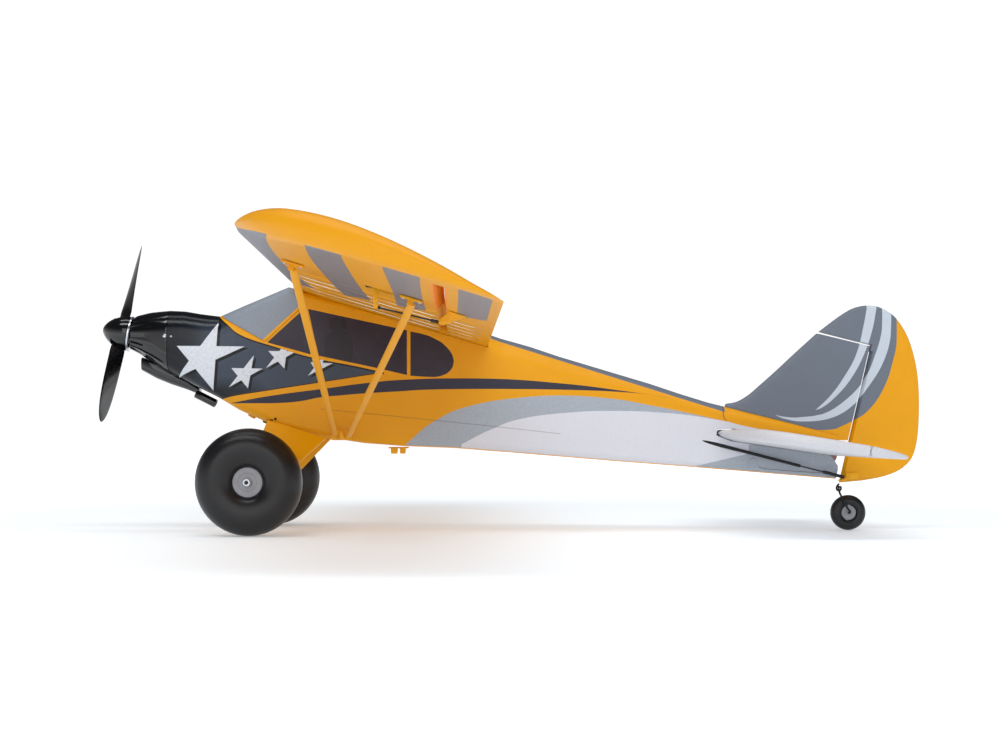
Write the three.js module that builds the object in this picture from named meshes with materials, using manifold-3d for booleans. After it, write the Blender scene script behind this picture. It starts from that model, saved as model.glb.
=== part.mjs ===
// Radio-controlled foam high-wing trainer ("bush plane" layout), 1.3 m span.
// Frame: millimetres, +X aft, +Y starboard, +Z up, wheels on Z = 0,
// origin under the middle of the bounding box.  Port is -Y.
import * as THREE from 'three';
import { mergeVertices } from 'three/addons/utils/BufferGeometryUtils.js';
import Module from 'manifold-3d';

const wasm = await Module();
wasm.setup();

// ------------------------------------------------------------ driving sizes
const GAP = 0.35;                 // air between two touching pieces
// wing
const SEMI_SPAN = 650;
const WING_LE = new THREE.Vector3(-238, 0, 263.5);
const WING_TE = new THREE.Vector3(-26, 0, 200.7);
const TIP_START = 500, TIP_LE_END = 518, TIP_CREST = 0.75, TIP_TE = 622;
const TIP_EDGE_R = 13;
const HINGE_X = -73.5;            // aileron hinge line
const AILERON_IN = 349, AILERON_OUT = 616;
const UPPER = [[0, 3.5], [1.25, 5.45], [2.5, 6.5], [5, 7.9], [10, 9.6], [20, 11.36], [30, 11.7], [40, 11.4], [50, 10.52], [60, 9.15], [70, 7.35], [80, 5.22], [90, 2.9], [100, 1.25]];
const LOWER = [[0, 3.5], [1.25, 1.93], [2.5, 1.47], [5, 0.93], [10, 0.42], [20, 0.03], [30, 0], [100, 0]];
// fuselage: top line, bottom line, half width, corner radii along X
const TOP = [[-420, 234.5], [-414, 237], [-400, 240], [-389, 241], [-373, 242], [-357, 241], [-340, 238], [-318, 235], [-242, 266], [-20, 214], [21, 202.6], [54, 191.6], [87, 181.8], [120, 171.9], [153, 162.1], [186, 151.1], [218, 141.2], [237, 136.5], [300, 121.5], [361.5, 106.6]];
const BOTTOM = [[-420, 201], [-414, 198.6], [-405, 194], [-378, 175.4], [-351, 162], [-320, 146.7], [-296, 132.5], [-269, 120.4], [-249, 110.6], [-201, 101.3], [-181, 99.6], [-160, 96.3], [-116, 93], [-61, 90.9], [-12, 87], [54, 81.5], [120, 76], [186, 71], [251, 65.7], [317, 60.2], [361.5, 56.6]];
const HALF_W = [[-420, 19], [-414, 22], [-400, 28.5], [-374, 34], [-340, 37], [-300, 38], [-150, 38], [-60, 36], [0, 33], [100, 25], [200, 17.5], [300, 10.5], [361.5, 6.8]];
const R_BOTTOM = [[-420, 18.5], [-400, 22], [-374, 22], [-340, 15], [-300, 10], [-60, 9], [100, 8], [300, 5], [361.5, 3.5]];
const R_TOP = [[-420, 18.5], [-400, 24], [-374, 26], [-330, 24], [-290, 14], [-242, 9], [-30, 10], [-10, 27], [100, 22], [200, 16], [300, 9.8], [361.5, 6.3]];
const COWL_X = -374, TAIL_X = 361.5;
// thrust line
const HUB = new THREE.Vector3(-430, 0, 218.5);
const THRUST_UP = 10 * Math.PI / 180;
const PROP_R = 104, PROP_PITCH = 165, PROP_CLOCK = 15 * Math.PI / 180;
// undercarriage
const WHEEL = new THREE.Vector3(-275.5, 112, 56), TYRE_R = 56, TYRE_CREST_R = 36.5, TYRE_HALF_W = 20.5, RIM_R = 15.8;
const GEAR_WIRE_R = 1.75;
const TAIL_WHEEL = new THREE.Vector3(374, 0, 19.4), TAIL_TYRE_R = 19.4, TAIL_RIM_R = 8;
// tail
const FIN_HALF_T = 5.5;
const RUDDER_BASE = new THREE.Vector3(363.0, 0, 52.4), RUDDER_TOP = new THREE.Vector3(398.3, 0, 203.8);
const ELEV_X = 348, ELEV_Z = 89;
const TAIL_SLOPE = 0.155;

// ---------------------------------------------------------------- utilities
const V = (x, y, z) => new THREE.Vector3(x, y, z);
function lerpTable(table, x) {
  if (x <= table[0][0]) return table[0][1];
  for (let i = 1; i < table.length; i++) {
    if (x <= table[i][0]) {
      const [x0, y0] = table[i - 1], [x1, y1] = table[i];
      return y0 + (y1 - y0) * (x - x0) / (x1 - x0);
    }
  }
  return table[table.length - 1][1];
}
function trianglesOf(g) {
  let m = g.clone();
  for (const name of Object.keys(m.attributes)) if (name !== 'position') m.deleteAttribute(name);
  m = mergeVertices(m, 1e-4);
  const src = m.index.array, tri = [];
  for (let i = 0; i < src.length; i += 3) {
    const a = src[i], b = src[i + 1], c = src[i + 2];
    if (a !== b && b !== c && a !== c) tri.push(a, b, c);
  }
  return { pos: m.attributes.position.array, tri };
}
function signedVolume(pos, tri) {
  let v = 0;
  for (let i = 0; i < tri.length; i += 3) {
    const [a, b, c] = [tri[i] * 3, tri[i + 1] * 3, tri[i + 2] * 3];
    v += pos[a] * (pos[b + 1] * pos[c + 2] - pos[b + 2] * pos[c + 1])
      - pos[a + 1] * (pos[b] * pos[c + 2] - pos[b + 2] * pos[c])
      + pos[a + 2] * (pos[b] * pos[c + 1] - pos[b + 1] * pos[c]);
  }
  return v / 6;
}
function solid(g) {
  const { pos, tri } = trianglesOf(g);
  if (signedVolume(pos, tri) < 0) for (let i = 0; i < tri.length; i += 3) [tri[i + 1], tri[i + 2]] = [tri[i + 2], tri[i + 1]];
  return new wasm.Manifold(new wasm.Mesh({ numProp: 3, vertProperties: new Float32Array(pos), triVerts: new Uint32Array(tri) }));
}
function geometryOf(s) {
  const m = s.getMesh(), g = new THREE.BufferGeometry();
  const p = new Float32Array(m.numVert * 3);
  for (let i = 0; i < m.numVert; i++) for (let k = 0; k < 3; k++) p[i * 3 + k] = m.vertProperties[i * m.numProp + k];
  g.setAttribute('position', new THREE.BufferAttribute(p, 3));
  g.setIndex(new THREE.BufferAttribute(new Uint32Array(m.triVerts), 1));
  const flat = g.toNonIndexed();
  flat.computeVertexNormals();
  return flat;
}
const addAll = (...list) => list.reduce((a, b) => a.add(b));
const cutAll = (s, ...list) => list.reduce((a, b) => a.subtract(b), s);
function moved(g, matrix) { const c = g.clone(); c.applyMatrix4(matrix); return c; }
function mirrored(s) {                       // starboard copy of a port piece
  const g = geometryOf(s);
  g.scale(1, -1, 1);
  return solid(g);
}
// solid through a stack of closed rings of equal length
function loft(rings) {
  const n = rings[0].length, pos = [], idx = [];
  for (const r of rings) for (const p of r) pos.push(p.x, p.y, p.z);
  for (let k = 0; k + 1 < rings.length; k++) for (let i = 0; i < n; i++) {
    const a = k * n + i, b = k * n + (i + 1) % n, c = a + n, d = b + n;
    idx.push(a, b, d, a, d, c);
  }
  for (const [k, flip] of [[0, false], [rings.length - 1, true]]) {
    const c = new THREE.Vector3();
    rings[k].forEach((p) => c.add(p));
    c.multiplyScalar(1 / n);
    const at = pos.length / 3;
    pos.push(c.x, c.y, c.z);
    for (let i = 0; i < n; i++) {
      const a = k * n + i, b = k * n + (i + 1) % n;
      if (flip) idx.push(at, a, b); else idx.push(at, b, a);
    }
  }
  const g = new THREE.BufferGeometry();
  g.setAttribute('position', new THREE.Float32BufferAttribute(pos, 3));
  g.setIndex(idx);
  return solid(g);
}
const box = (x0, x1, y0, y1, z0, z1) => {
  const g = new THREE.BoxGeometry(x1 - x0, y1 - y0, z1 - z0);
  g.translate((x0 + x1) / 2, (y0 + y1) / 2, (z0 + z1) / 2);
  return solid(g);
};
// frame whose local X, Y, Z run along the given axes
const frameAt = (o, ex, ey, ez) => new THREE.Matrix4().makeBasis(ex, ey, ez).setPosition(o);
// round bar between two points
function bar(a, b, r, sides = 10) {
  const d = b.clone().sub(a), g = new THREE.CylinderGeometry(r, r, d.length(), sides);
  const q = new THREE.Quaternion().setFromUnitVectors(V(0, 1, 0), d.clone().normalize());
  g.applyQuaternion(q);
  g.translate((a.x + b.x) / 2, (a.y + b.y) / 2, (a.z + b.z) / 2);
  return solid(g);
}
// polygon in X-Z extruded across Y
function slabXZ(points, y0, y1, bevel = 0) {
  const shape = new THREE.Shape(points.map(([x, z]) => new THREE.Vector2(x, z)));
  const g = new THREE.ExtrudeGeometry(shape, {
    depth: y1 - y0 - 2 * bevel, bevelEnabled: bevel > 0, bevelThickness: bevel, bevelSize: bevel, bevelOffset: -bevel, bevelSegments: 2,
  });
  g.translate(0, 0, y0 + bevel);
  // shape x,y,z -> world x,-z.. : rotate so that shape Y becomes world Z
  g.applyMatrix4(new THREE.Matrix4().makeBasis(V(1, 0, 0), V(0, 0, 1), V(0, 1, 0)));
  return solid(g);
}
// polygon in X-Y extruded up Z
function slabXY(points, z0, z1, bevel = 0) {
  const shape = new THREE.Shape(points.map(([x, y]) => new THREE.Vector2(x, y)));
  const g = new THREE.ExtrudeGeometry(shape, {
    depth: z1 - z0 - 2 * bevel, bevelEnabled: bevel > 0, bevelThickness: bevel, bevelSize: bevel, bevelOffset: -bevel, bevelSegments: 2,
  });
  g.translate(0, 0, z0 + bevel);
  return solid(g);
}
// round wire along a curve
function wire(points, r, steps, sides = 8, tension = 0.5) {
  const curve = new THREE.CatmullRomCurve3(points, false, 'centripetal', tension);
  const shape = new THREE.Shape();
  for (let i = 0; i < sides; i++) {
    const a = 2 * Math.PI * (i + 0.5) / sides;
    if (i) shape.lineTo(r * Math.cos(a), r * Math.sin(a)); else shape.moveTo(r * Math.cos(a), r * Math.sin(a));
  }
  return solid(new THREE.ExtrudeGeometry(shape, { steps, extrudePath: curve, curveSegments: 1 }));
}
// solid of revolution about Y, profile [r, y] closed on the axis or on itself
function turned(profile, segments, centre) {
  const g = new THREE.LatheGeometry(profile.map(([r, y]) => new THREE.Vector2(r, y)), segments);
  if (centre) g.translate(centre.x, centre.y, centre.z);
  return solid(g);
}
// solid of revolution about the thrust line, profile [r, d], d forward of the hub
const thrust = V(-Math.cos(THRUST_UP), 0, Math.sin(THRUST_UP));
const thrustUp = V(Math.sin(THRUST_UP), 0, Math.cos(THRUST_UP));
const thrustFrame = frameAt(HUB, V(0, -1, 0), thrust, thrustUp);   // local Y runs forward
function turnedOnThrust(profile, segments) {
  const g = new THREE.LatheGeometry(profile.map(([r, d]) => new THREE.Vector2(r, d)), segments);
  g.applyMatrix4(thrustFrame);
  return solid(g);
}

// ------------------------------------------------------------------- wing
const chordVec = WING_TE.clone().sub(WING_LE), CHORD = chordVec.length();
const eU = chordVec.clone().normalize(), eN = V(-eU.z, 0, eU.x);
const onChord = (u, h, y) => WING_LE.clone().addScaledVector(eU, u * CHORD).addScaledVector(eN, h).setY(y);
const upperAt = (u) => lerpTable(UPPER, u * 100) * CHORD / 100;
const lowerAt = (u) => lerpTable(LOWER, u * 100) * CHORD / 100;
function tipAt(u) {
  if (u < TIP_CREST) return TIP_LE_END + (SEMI_SPAN - TIP_LE_END) * Math.sqrt(Math.max(0, 1 - ((TIP_CREST - u) / TIP_CREST) ** 2));
  const t = (u - TIP_CREST) / (1 - TIP_CREST);
  return SEMI_SPAN - (SEMI_SPAN - TIP_TE) * (0.35 * t * t + 0.65 * t ** 8);
}
const tipCurve = [];
for (let i = 0; i <= 160; i++) { const u = (i / 160) ** 1.6; tipCurve.push([u * CHORD, tipAt(u)]); }
function edgeDistance(s, y) {
  let best = 1e9;
  for (let i = 0; i + 1 < tipCurve.length; i++) {
    const [ax, ay] = tipCurve[i], [bx, by] = tipCurve[i + 1];
    const dx = bx - ax, dy = by - ay, t = Math.min(1, Math.max(0, ((s - ax) * dx + (y - ay) * dy) / (dx * dx + dy * dy)));
    best = Math.min(best, Math.hypot(s - ax - t * dx, y - ay - t * dy));
  }
  return best;
}
const U_ROWS = [0, 0.006, 0.02, 0.05, 0.1, 0.17, 0.26, 0.36, 0.47, 0.58, 0.69, 0.8, 0.91, 1];
function wingRing(f, y, tip) {
  const up = [], lo = [];
  for (const u of U_ROWS) {
    const yy = tip ? TIP_START + (tipAt(u) - TIP_START) * f : y;
    let hu = upperAt(u), hl = lowerAt(u);
    if (tip) {
      const d = f >= 1 ? 0 : edgeDistance(u * CHORD, yy);
      const k = Math.sqrt(Math.max(0, 1 - (1 - Math.min(1, d / TIP_EDGE_R)) ** 2));
      const mid = hl + (hu - hl) * 0.55;
      hu = mid + (hu - mid) * k; hl = mid + (hl - mid) * k;
    }
    up.push(onChord(u, hu, -yy)); lo.push(onChord(u, hl, -yy));
  }
  return [...up.reverse(), ...lo.slice(1)];
}
function wingPort() {
  const rings = [];
  for (const y of [GAP / 2, 160, 330, TIP_START]) rings.push(wingRing(0, y, false));
  for (const f of [0.45, 0.75, 0.9, 0.97, 1]) rings.push(wingRing(f, 0, true));
  return loft(rings);
}
const wingSolid = wingPort();
// everything the wing needs clear on the cabin roof
function wingSeat() {
  const pts = [], grow = GAP;
  for (const u of [0, 0.0125, 0.025, 0.05, 0.1, 0.2, 0.3, 1]) {
    const p = onChord(u, lowerAt(u) - grow, 0);
    pts.push([p.x - (u < 0.03 ? grow : 0), p.z]);
  }
  const te = onChord(1, -grow, 0);
  pts.push([te.x + 1.2, te.z], [te.x + 1.2, 320], [pts[0][0], 320]);
  return slabXZ(pts, -60, 60);
}
// V-shaped hinge groove, live at the top skin
const hingeU = (HINGE_X - WING_LE.x) / (WING_TE.x - WING_LE.x);
const hingeTop = onChord(hingeU, upperAt(hingeU), 0);
const hingeAxis = onChord(hingeU, upperAt(hingeU) - 0.9, 0);
function wedge(y0, y1, half, deep) {          // groove section, wide at the bottom
  const at = (du, h) => { const p = onChord(hingeU + du / CHORD, h, 0); return [p.x, p.z]; };
  const top = upperAt(hingeU) + 3;
  return slabXZ([at(-0.5, top), at(-0.5, top - 5), at(-half, -3), at(half, -3), at(0.5, top - 5), at(0.5, top)].map((p) => p), y0, y1);
}
const behindHinge = (y0, y1) => {
  const at = (du, h) => { const p = onChord(hingeU + du / CHORD, h, 0); return [p.x, p.z]; };
  return slabXZ([at(0, 30), at(0, -12), at(80, -12), at(80, 30)], y0, y1);
};
const groove = wedge(-AILERON_OUT - 0.6, -AILERON_IN + 0.6, 5.8);
const aileronPort = wingSolid.intersect(behindHinge(-AILERON_OUT, -AILERON_IN)).subtract(groove);
// servo pocket and its slot, opening downwards
const SERVO_Y = 398, SERVO_X = -127;
const servoBottom = 202.7 + (-32.7 - SERVO_X) * 0.2962;
let wingLeft = cutAll(wingSolid,
  behindHinge(-AILERON_OUT - 0.6, -AILERON_IN + 0.6), groove,
  // moulded flap line, a shallow notch that does not move
  (() => { const at = (du, h) => { const p = onChord(hingeU + du / CHORD, h, 0); return [p.x, p.z]; };
    return slabXZ([at(-5.6, -2), at(-1, 7.5), at(1, 7.5), at(5.6, -2)], -AILERON_IN + 0.6, -79); })(),
  box(SERVO_X - 12, SERVO_X + 12, -SERVO_Y - 9, -SERVO_Y + 7, servoBottom - 12, servoBottom + 13),
  bar(V(-170, -146, 246.6 + 11), V(-170, 1, 246.6 + 11), 4.6, 12),
);
const wingRight = mirrored(wingLeft);
const TUBE_Z = 257.6;
const wingTube = bar(V(-170, -145, TUBE_Z), V(-170, 145, TUBE_Z), 4.1, 12);

// ---------------------------------------------------------------- fuselage
const ARC = 5;
function fuselageRing(x, grow = 0, shear = null) {
  const w = lerpTable(HALF_W, x) + grow, zt = lerpTable(TOP, x) + grow, zb = lerpTable(BOTTOM, x) - grow;
  const half = (zt - zb) / 2 - 0.05;
  const rb = Math.min(lerpTable(R_BOTTOM, x) + grow, w - 0.05, half), rt = Math.min(lerpTable(R_TOP, x) + grow, w - 0.05, half);
  const ring = [];
  for (const [cy, cz, r, a0] of [[w - rb, zb + rb, rb, -90], [w - rt, zt - rt, rt, 0], [-(w - rt), zt - rt, rt, 90], [-(w - rb), zb + rb, rb, 180]]) {
    for (let i = 0; i <= ARC; i++) {
      const a = (a0 + 90 * i / ARC) * Math.PI / 180;
      const y = cy + r * Math.cos(a), z = cz + r * Math.sin(a);
      ring.push(V(x + (shear ? (z - shear.z) * shear.k : 0), y, z));
    }
  }
  return ring;
}
const BODY_X = [COWL_X, -357, -340, -318, -296, -269, -249, -242, -201, -160, -116, -61, -31, -20, 21, 54, 120, 186, 237, 300, TAIL_X];
const bodyLoft = (grow, x0 = BODY_X[0], x1 = TAIL_X) => loft(BODY_X.filter((x) => x >= x0 && x <= x1).map((x) => fuselageRing(x, grow)));
const bodyOuter = bodyLoft(0);
// battery bay and belly hatch, laid along the sloping belly
const HATCH_O = V(-338, 0, 155.6), HATCH_L = 69.8, HATCH_T0 = 22, HATCH_HALF = 20;   // hatch runs from T0, behind the exhaust stub, to L
const eT = V(0.888, 0, -0.460), eM = V(0.460, 0, 0.888);
const hatchFrame = frameAt(HATCH_O, eT, V(0, 1, 0), eM);
const hatchBox = (t0, t1, y, n0, n1) => {
  const g = new THREE.BoxGeometry(t1 - t0, 2 * y, n1 - n0);
  g.translate((t0 + t1) / 2, 0, (n0 + n1) / 2);
  return solid(moved(g, hatchFrame));
};
const bay = hatchBox(-4, 90, 20, 7, 38);
const hatchHole = hatchBox(HATCH_T0 - 0.8, HATCH_L + 0.8, HATCH_HALF + 0.8, -12, 8);
const knobAt = HATCH_O.clone().addScaledVector(eT, 60).addScaledVector(eM, -1.6);
const knobG = new THREE.CylinderGeometry(4.5, 3.8, 4.2, 12);
knobG.rotateX(Math.PI / 2);
knobG.applyMatrix4(frameAt(knobAt, eT, V(0, 1, 0), eM));
const batteryHatch = bodyOuter.intersect(hatchBox(HATCH_T0, HATCH_L, HATCH_HALF, -12, 6.4)).add(solid(knobG));
const batteryPack = hatchBox(0, 88, 17, 8, 33);

// tail surfaces first, the body is cut round them
const RUDDER_AXIS = RUDDER_TOP.clone().sub(RUDDER_BASE).normalize();
const hingeXAt = (z) => RUDDER_BASE.x + (z - RUDDER_BASE.z) * RUDDER_AXIS.x / RUDDER_AXIS.z;
const finOutline = [[236.8, 132], [236.8, 140], [251, 142.1], [263.3, 149.2], [289.7, 172.1], [316.3, 196.8], [334, 212.5], [341, 216.8], [hingeXAt(203.2) - 1.2, 203.2], [hingeXAt(99.5) - 1.2, 99.5], [352, 99.5], [345, 100]];
const finTaper = slabXY([[230, 3.6], [258, FIN_HALF_T], [hingeXAt(150), FIN_HALF_T], [hingeXAt(220) + 40, FIN_HALF_T], [hingeXAt(220) + 40, -FIN_HALF_T], [258, -FIN_HALF_T], [230, -3.6]], 40, 260);
const tailAt = (x) => ELEV_Z - (x - ELEV_X) * TAIL_SLOPE;
// half plan of the tailplane, port side: [x, |y|]
const stabPlan = [[227, 0], [228, 60], [231, 110], [237, 150], [247, 178], [262, 196], [283, 205], [312, 208], [ELEV_X - 0.9, 207]];
const elevPlan = [[ELEV_X, 9], [ELEV_X, 206.5], [364, 204.5], [378, 199], [388, 189], [394, 174], [396.5, 150], [396.5, 52], [393, 38], [384, 28]];
function tailplane(points, thickFront, thickRear, x0, x1) {
  // flat slab along the tail slope, thinned toward its trailing edge
  const flat = slabXY(points, -8, 8);
  const section = slabXZ([[x0, -thickFront], [x0 + 16, -6.4], [ELEV_X, -5.6], [x1, -thickRear], [x1, thickRear], [ELEV_X, 5.6], [x0 + 16, 6.4], [x0, thickFront]], -230, 230);
  const g = geometryOf(flat.intersect(section));
  const e = V(1, 0, -TAIL_SLOPE).normalize(), n = V(TAIL_SLOPE, 0, 1).normalize();
  const o = V(ELEV_X, 0, ELEV_Z).addScaledVector(e, -ELEV_X);
  g.applyMatrix4(frameAt(o, e, V(0, 1, 0), n));
  return solid(g);
}
const JOIN_X = ELEV_X + 7, JOIN_Z = ELEV_Z - 1.1;
const elevatorJoiner = addAll(bar(V(JOIN_X, -22, JOIN_Z), V(JOIN_X, 22, JOIN_Z), 1.4, 10),
  slabXZ([[351.5, 87.2], [361.4, 87.2], [361.4, 80.5], [360.2, 77.2], [357.6, 75.2], [353.5, 77.5]], -2.6, 2.6));
const joinerHole = bar(V(JOIN_X, -22.6, JOIN_Z), V(JOIN_X, 22.6, JOIN_Z), 1.4 + GAP, 10);
// the tail end is notched for the joiner, with a deeper slot for its quadrant
const joinerClear = addAll(slabXZ([[352.2, 99], [352.2, 83.4], [358.2, 76.4], [361.0, 71.8], [372, 71.8], [372, 99]], -40, 40),
  bar(V(ELEV_X, -3.4, ELEV_Z), V(ELEV_X, 3.4, ELEV_Z), 20.6, 24));
const stabBoth = [...stabPlan.map(([x, y]) => [x, -y]), ...stabPlan.slice().reverse().filter(([, y]) => y > 0).map(([x, y]) => [x, y])];
const stabilizer = tailplane(stabBoth, 2.6, 1.3, 226.5, 397).subtract(box(ELEV_X - 3, ELEV_X + 9, -8, 8, 70, 110));
const stabEnvelope = (() => {
  const flat = slabXY([[226.6, -212], [ELEV_X - 0.5, -212], [ELEV_X - 0.5, 212], [226.6, 212]], -8, 8);
  const section = slabXZ([[225, -3.2], [242, -6.9], [ELEV_X, -6.1], [400, -5], [400, 5], [ELEV_X, 6.1], [242, 6.9], [225, 3.2]], -230, 230);
  const g = geometryOf(flat.intersect(section));
  const e = V(1, 0, -TAIL_SLOPE).normalize(), n = V(TAIL_SLOPE, 0, 1).normalize();
  g.applyMatrix4(frameAt(V(ELEV_X, 0, ELEV_Z).addScaledVector(e, -ELEV_X), e, V(0, 1, 0), n));
  return solid(g);
})();
const elevatorPortFlat = tailplane(elevPlan.map(([x, y]) => [x, -y]), 2.6, 1.3, 226.5, 397.5);
// double bevel on the front edge of the elevator so that it swings either way
const elevBevel = slabXZ([[ELEV_X - 4, 12], [ELEV_X + 0.2, 0.9], [ELEV_X + 0.2, -0.9], [ELEV_X - 4, -12], [ELEV_X - 12, -12], [ELEV_X - 12, 12]].map(([x, z]) => [x, z]), -230, 230);
const elevNose = (() => {
  const pts = [[ELEV_X - 12, 9], [ELEV_X + 5.2, 9], [ELEV_X + 0.6, 1.2], [ELEV_X + 0.6, -1.2], [ELEV_X + 5.2, -9], [ELEV_X - 12, -9]];
  const g = geometryOf(slabXZ(pts, -230, 230));
  const e = V(1, 0, -TAIL_SLOPE).normalize(), n = V(TAIL_SLOPE, 0, 1).normalize();
  g.applyMatrix4(frameAt(V(ELEV_X, 0, ELEV_Z).addScaledVector(e, -ELEV_X), e, V(0, 1, 0), n));
  return solid(g);
})();
const elevatorPort = elevatorPortFlat.subtract(elevNose).subtract(joinerHole);
// wire yoke joining the two elevators, with its control horn on the starboard side
// control horn under the starboard elevator
const elevatorHorn = addAll(
  slabXZ([[ELEV_X + 5, ELEV_Z - 7.4], [ELEV_X + 13, ELEV_Z - 8.6], [ELEV_X + 12, ELEV_Z - 10.6], [ELEV_X + 2.6, ELEV_Z - 18], [ELEV_X - 2.4, ELEV_Z - 18], [ELEV_X - 2.4, ELEV_Z - 14.6]], 13.6, 15.2),
  slabXZ([[ELEV_X + 5, ELEV_Z - 7.4], [ELEV_X + 14, ELEV_Z - 8.8], [ELEV_X + 14, ELEV_Z - 10.4], [ELEV_X + 5, ELEV_Z - 9]], 11, 18));

const finSolid = cutAll(slabXZ(finOutline, -8, 8).intersect(finTaper), bodyLoft(GAP, 186), stabEnvelope,
  slabXZ([[340, 60], [340, 99.3], [380, 99.3], [380, 60]], -10, 10));
const finParts = finSolid.decompose().sort((a, b) => b.volume() - a.volume());
const tailFin = finParts[0];

// pushrod guide tubes leave the body on either side of the tail
const rudderRodA = V(200, -14.6, 101.6), rudderRodB = V(362.6, -16, 59.7);
const elevRodA = V(200, 13.4, 91), elevRodB = V(345.4, 16.9, 73.2);
const channelR = 2.1;
const rodPoint = (a, b, x) => a.clone().lerp(b, (x - a.x) / (b.x - a.x));

// windscreen: a thin moulded skin let into the cabin front
const screenWedge = slabXZ([[-318.6, 238.5], [-315.7, 233.5], [-267, 206], [-227, 243.4], [-227, 300], [-318.6, 300]], -60, 60);
const screenWedgeIn = slabXZ([[-318.2, 239.0], [-315.2, 233.9], [-267.05, 206.7], [-227.9, 243.3], [-227.9, 300], [-318.2, 300]], -60, 60);
const gearSlot = box(WHEEL.x + 10, WHEEL.x + 17, -40, 40, 90, 121.9);
const seat = wingSeat();
const wholeBody = cutAll(bodyOuter,
  seat,
  screenWedge.subtract(bodyLoft(-2.4)),
  bay, hatchHole,
  gearSlot,
  stabEnvelope, joinerClear,
  slabXZ([[358.4, 50], [361.2, 66], [366, 66], [366, 50]], -20, 20),
  bar(rodPoint(rudderRodA, rudderRodB, 198.5), rodPoint(rudderRodA, rudderRodB, 330), channelR, 12),
  bar(rodPoint(elevRodA, elevRodB, 198.5), rodPoint(elevRodA, elevRodB, 330), channelR, 12),
);
const halfOf = (s, side) => s.intersect(side < 0 ? box(-600, 600, -200, -GAP / 2, -10, 400) : box(-600, 600, GAP / 2, 200, -10, 400));
const biggest = (s) => s.decompose().sort((a, b) => b.volume() - a.volume())[0];
const fuselageLeft = biggest(halfOf(wholeBody, -1));
const fuselageRight = biggest(halfOf(wholeBody, 1));
const windshield = biggest(cutAll(bodyOuter.intersect(screenWedgeIn), bodyLoft(-2.0), seat));

// -------------------------------------------------------------- nose pieces
const COWL_STATIONS = [-416.5, -413, -407, -398, -387, COWL_X - GAP];
const shearAt = (x) => ({ z: 216, k: Math.tan(THRUST_UP) * Math.min(1, Math.max(0, (COWL_X - x) / 40)) });
const cowlOuter = loft(COWL_STATIONS.map((x) => fuselageRing(x, 0, shearAt(x))));
const cowlInner = loft([-425, ...COWL_STATIONS.slice(1, -1), COWL_X + 5].map((x) => fuselageRing(x, -2.6, shearAt(x))));
const cowl = cowlOuter.subtract(cowlInner);
const firewall = (() => {
  const inset = (x) => fuselageRing(COWL_X - 4, -4.6).map((p) => V(x, p.y, p.z));
  return loft([inset(COWL_X - 5.4), inset(COWL_X - GAP)]);
})();
const motorStator = turnedOnThrust([[0, -48.4], [12.6, -48.4], [12.6, -41], [0, -41]], 16);
const motorBell = turnedOnThrust([[0, -40.6], [14, -40.6], [14, -19], [11, -16], [2.5, -15.5], [2.5, 9.5], [0, 9.5]], 24);
const backplate = turnedOnThrust([[2.9, -11.6], [19.6, -11.6], [19.6, -9.2], [2.9, -9.2], [2.9, -11.6]], 24);
const SPINNER = [[19.4, -8.8], [19.2, -4], [18.1, 1], [16, 6.5], [12.8, 11.8], [8.8, 16.4], [4.4, 19.6], [0, 20.8]];
const SPINNER_IN = [[0, 18.6], [4, 17.4], [7.6, 14.8], [11.2, 10.6], [14.3, 5.7], [16.4, 0.5], [17.6, -4], [17.8, -8.8]];
const spinnerShell = turnedOnThrust([...SPINNER, ...SPINNER_IN, SPINNER[0]], 24);
// propeller: two twisted blades on a round hub
const CHORDS = [[7, 13], [15, 17], [30, 20], [45, 23.5], [60, 26], [75, 26.5], [88, 23.5], [97, 17], [102, 9], [104, 3]];
function blade(turn) {
  const rings = [];
  const radial = V(0, 0, 1), side = V(1, 0, 0);
  const spin = new THREE.Matrix4().makeRotationY(turn);
  for (const r of [6, 15, 24, 36, 50, 64, 78, 90, 98, 102, PROP_R]) {
    const c = lerpTable(CHORDS, r), beta = Math.min(0.82, Math.atan(PROP_PITCH / (2 * Math.PI * r)));
    const t = Math.max(0.5, c * (r < 20 ? 0.26 : 0.13 - 0.04 * r / PROP_R));
    const ring = [];
    for (const [s, h] of [[0.5, 0], [0.38, 0.42], [0.15, 0.62], [-0.15, 0.52], [-0.38, 0.26], [-0.5, 0], [-0.38, -0.2], [0, -0.32], [0.38, -0.26]]) {
      const x = s * c, y = h * t;
      // leading edge forward and into the turn; local Y is the thrust line
      const lx = -x * Math.cos(beta) + y * Math.sin(beta), ly = x * Math.sin(beta) + y * Math.cos(beta);
      ring.push(V(lx, ly, r).applyMatrix4(spin).applyMatrix4(thrustFrame));
    }
    rings.push(ring);
  }
  return loft(rings);
}
const propeller = addAll(blade(-PROP_CLOCK), blade(Math.PI - PROP_CLOCK),
  turnedOnThrust([[3.0, -8.6], [8.6, -8.6], [8.6, 5.2], [3.0, 5.2], [3.0, -8.6]], 20)).subtract(turnedOnThrust([[0, -12], [2.9, -12], [2.9, 8], [0, 8]], 16));
const slotBox = (() => {
  const g = new THREE.BoxGeometry(19.5, 19.4, 60);
  g.translate(0, -0.9, 0);
  g.applyMatrix4(new THREE.Matrix4().makeRotationY(-PROP_CLOCK));
  g.applyMatrix4(thrustFrame);
  return solid(g);
})();
const spinner = spinnerShell.subtract(slotBox);
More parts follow.
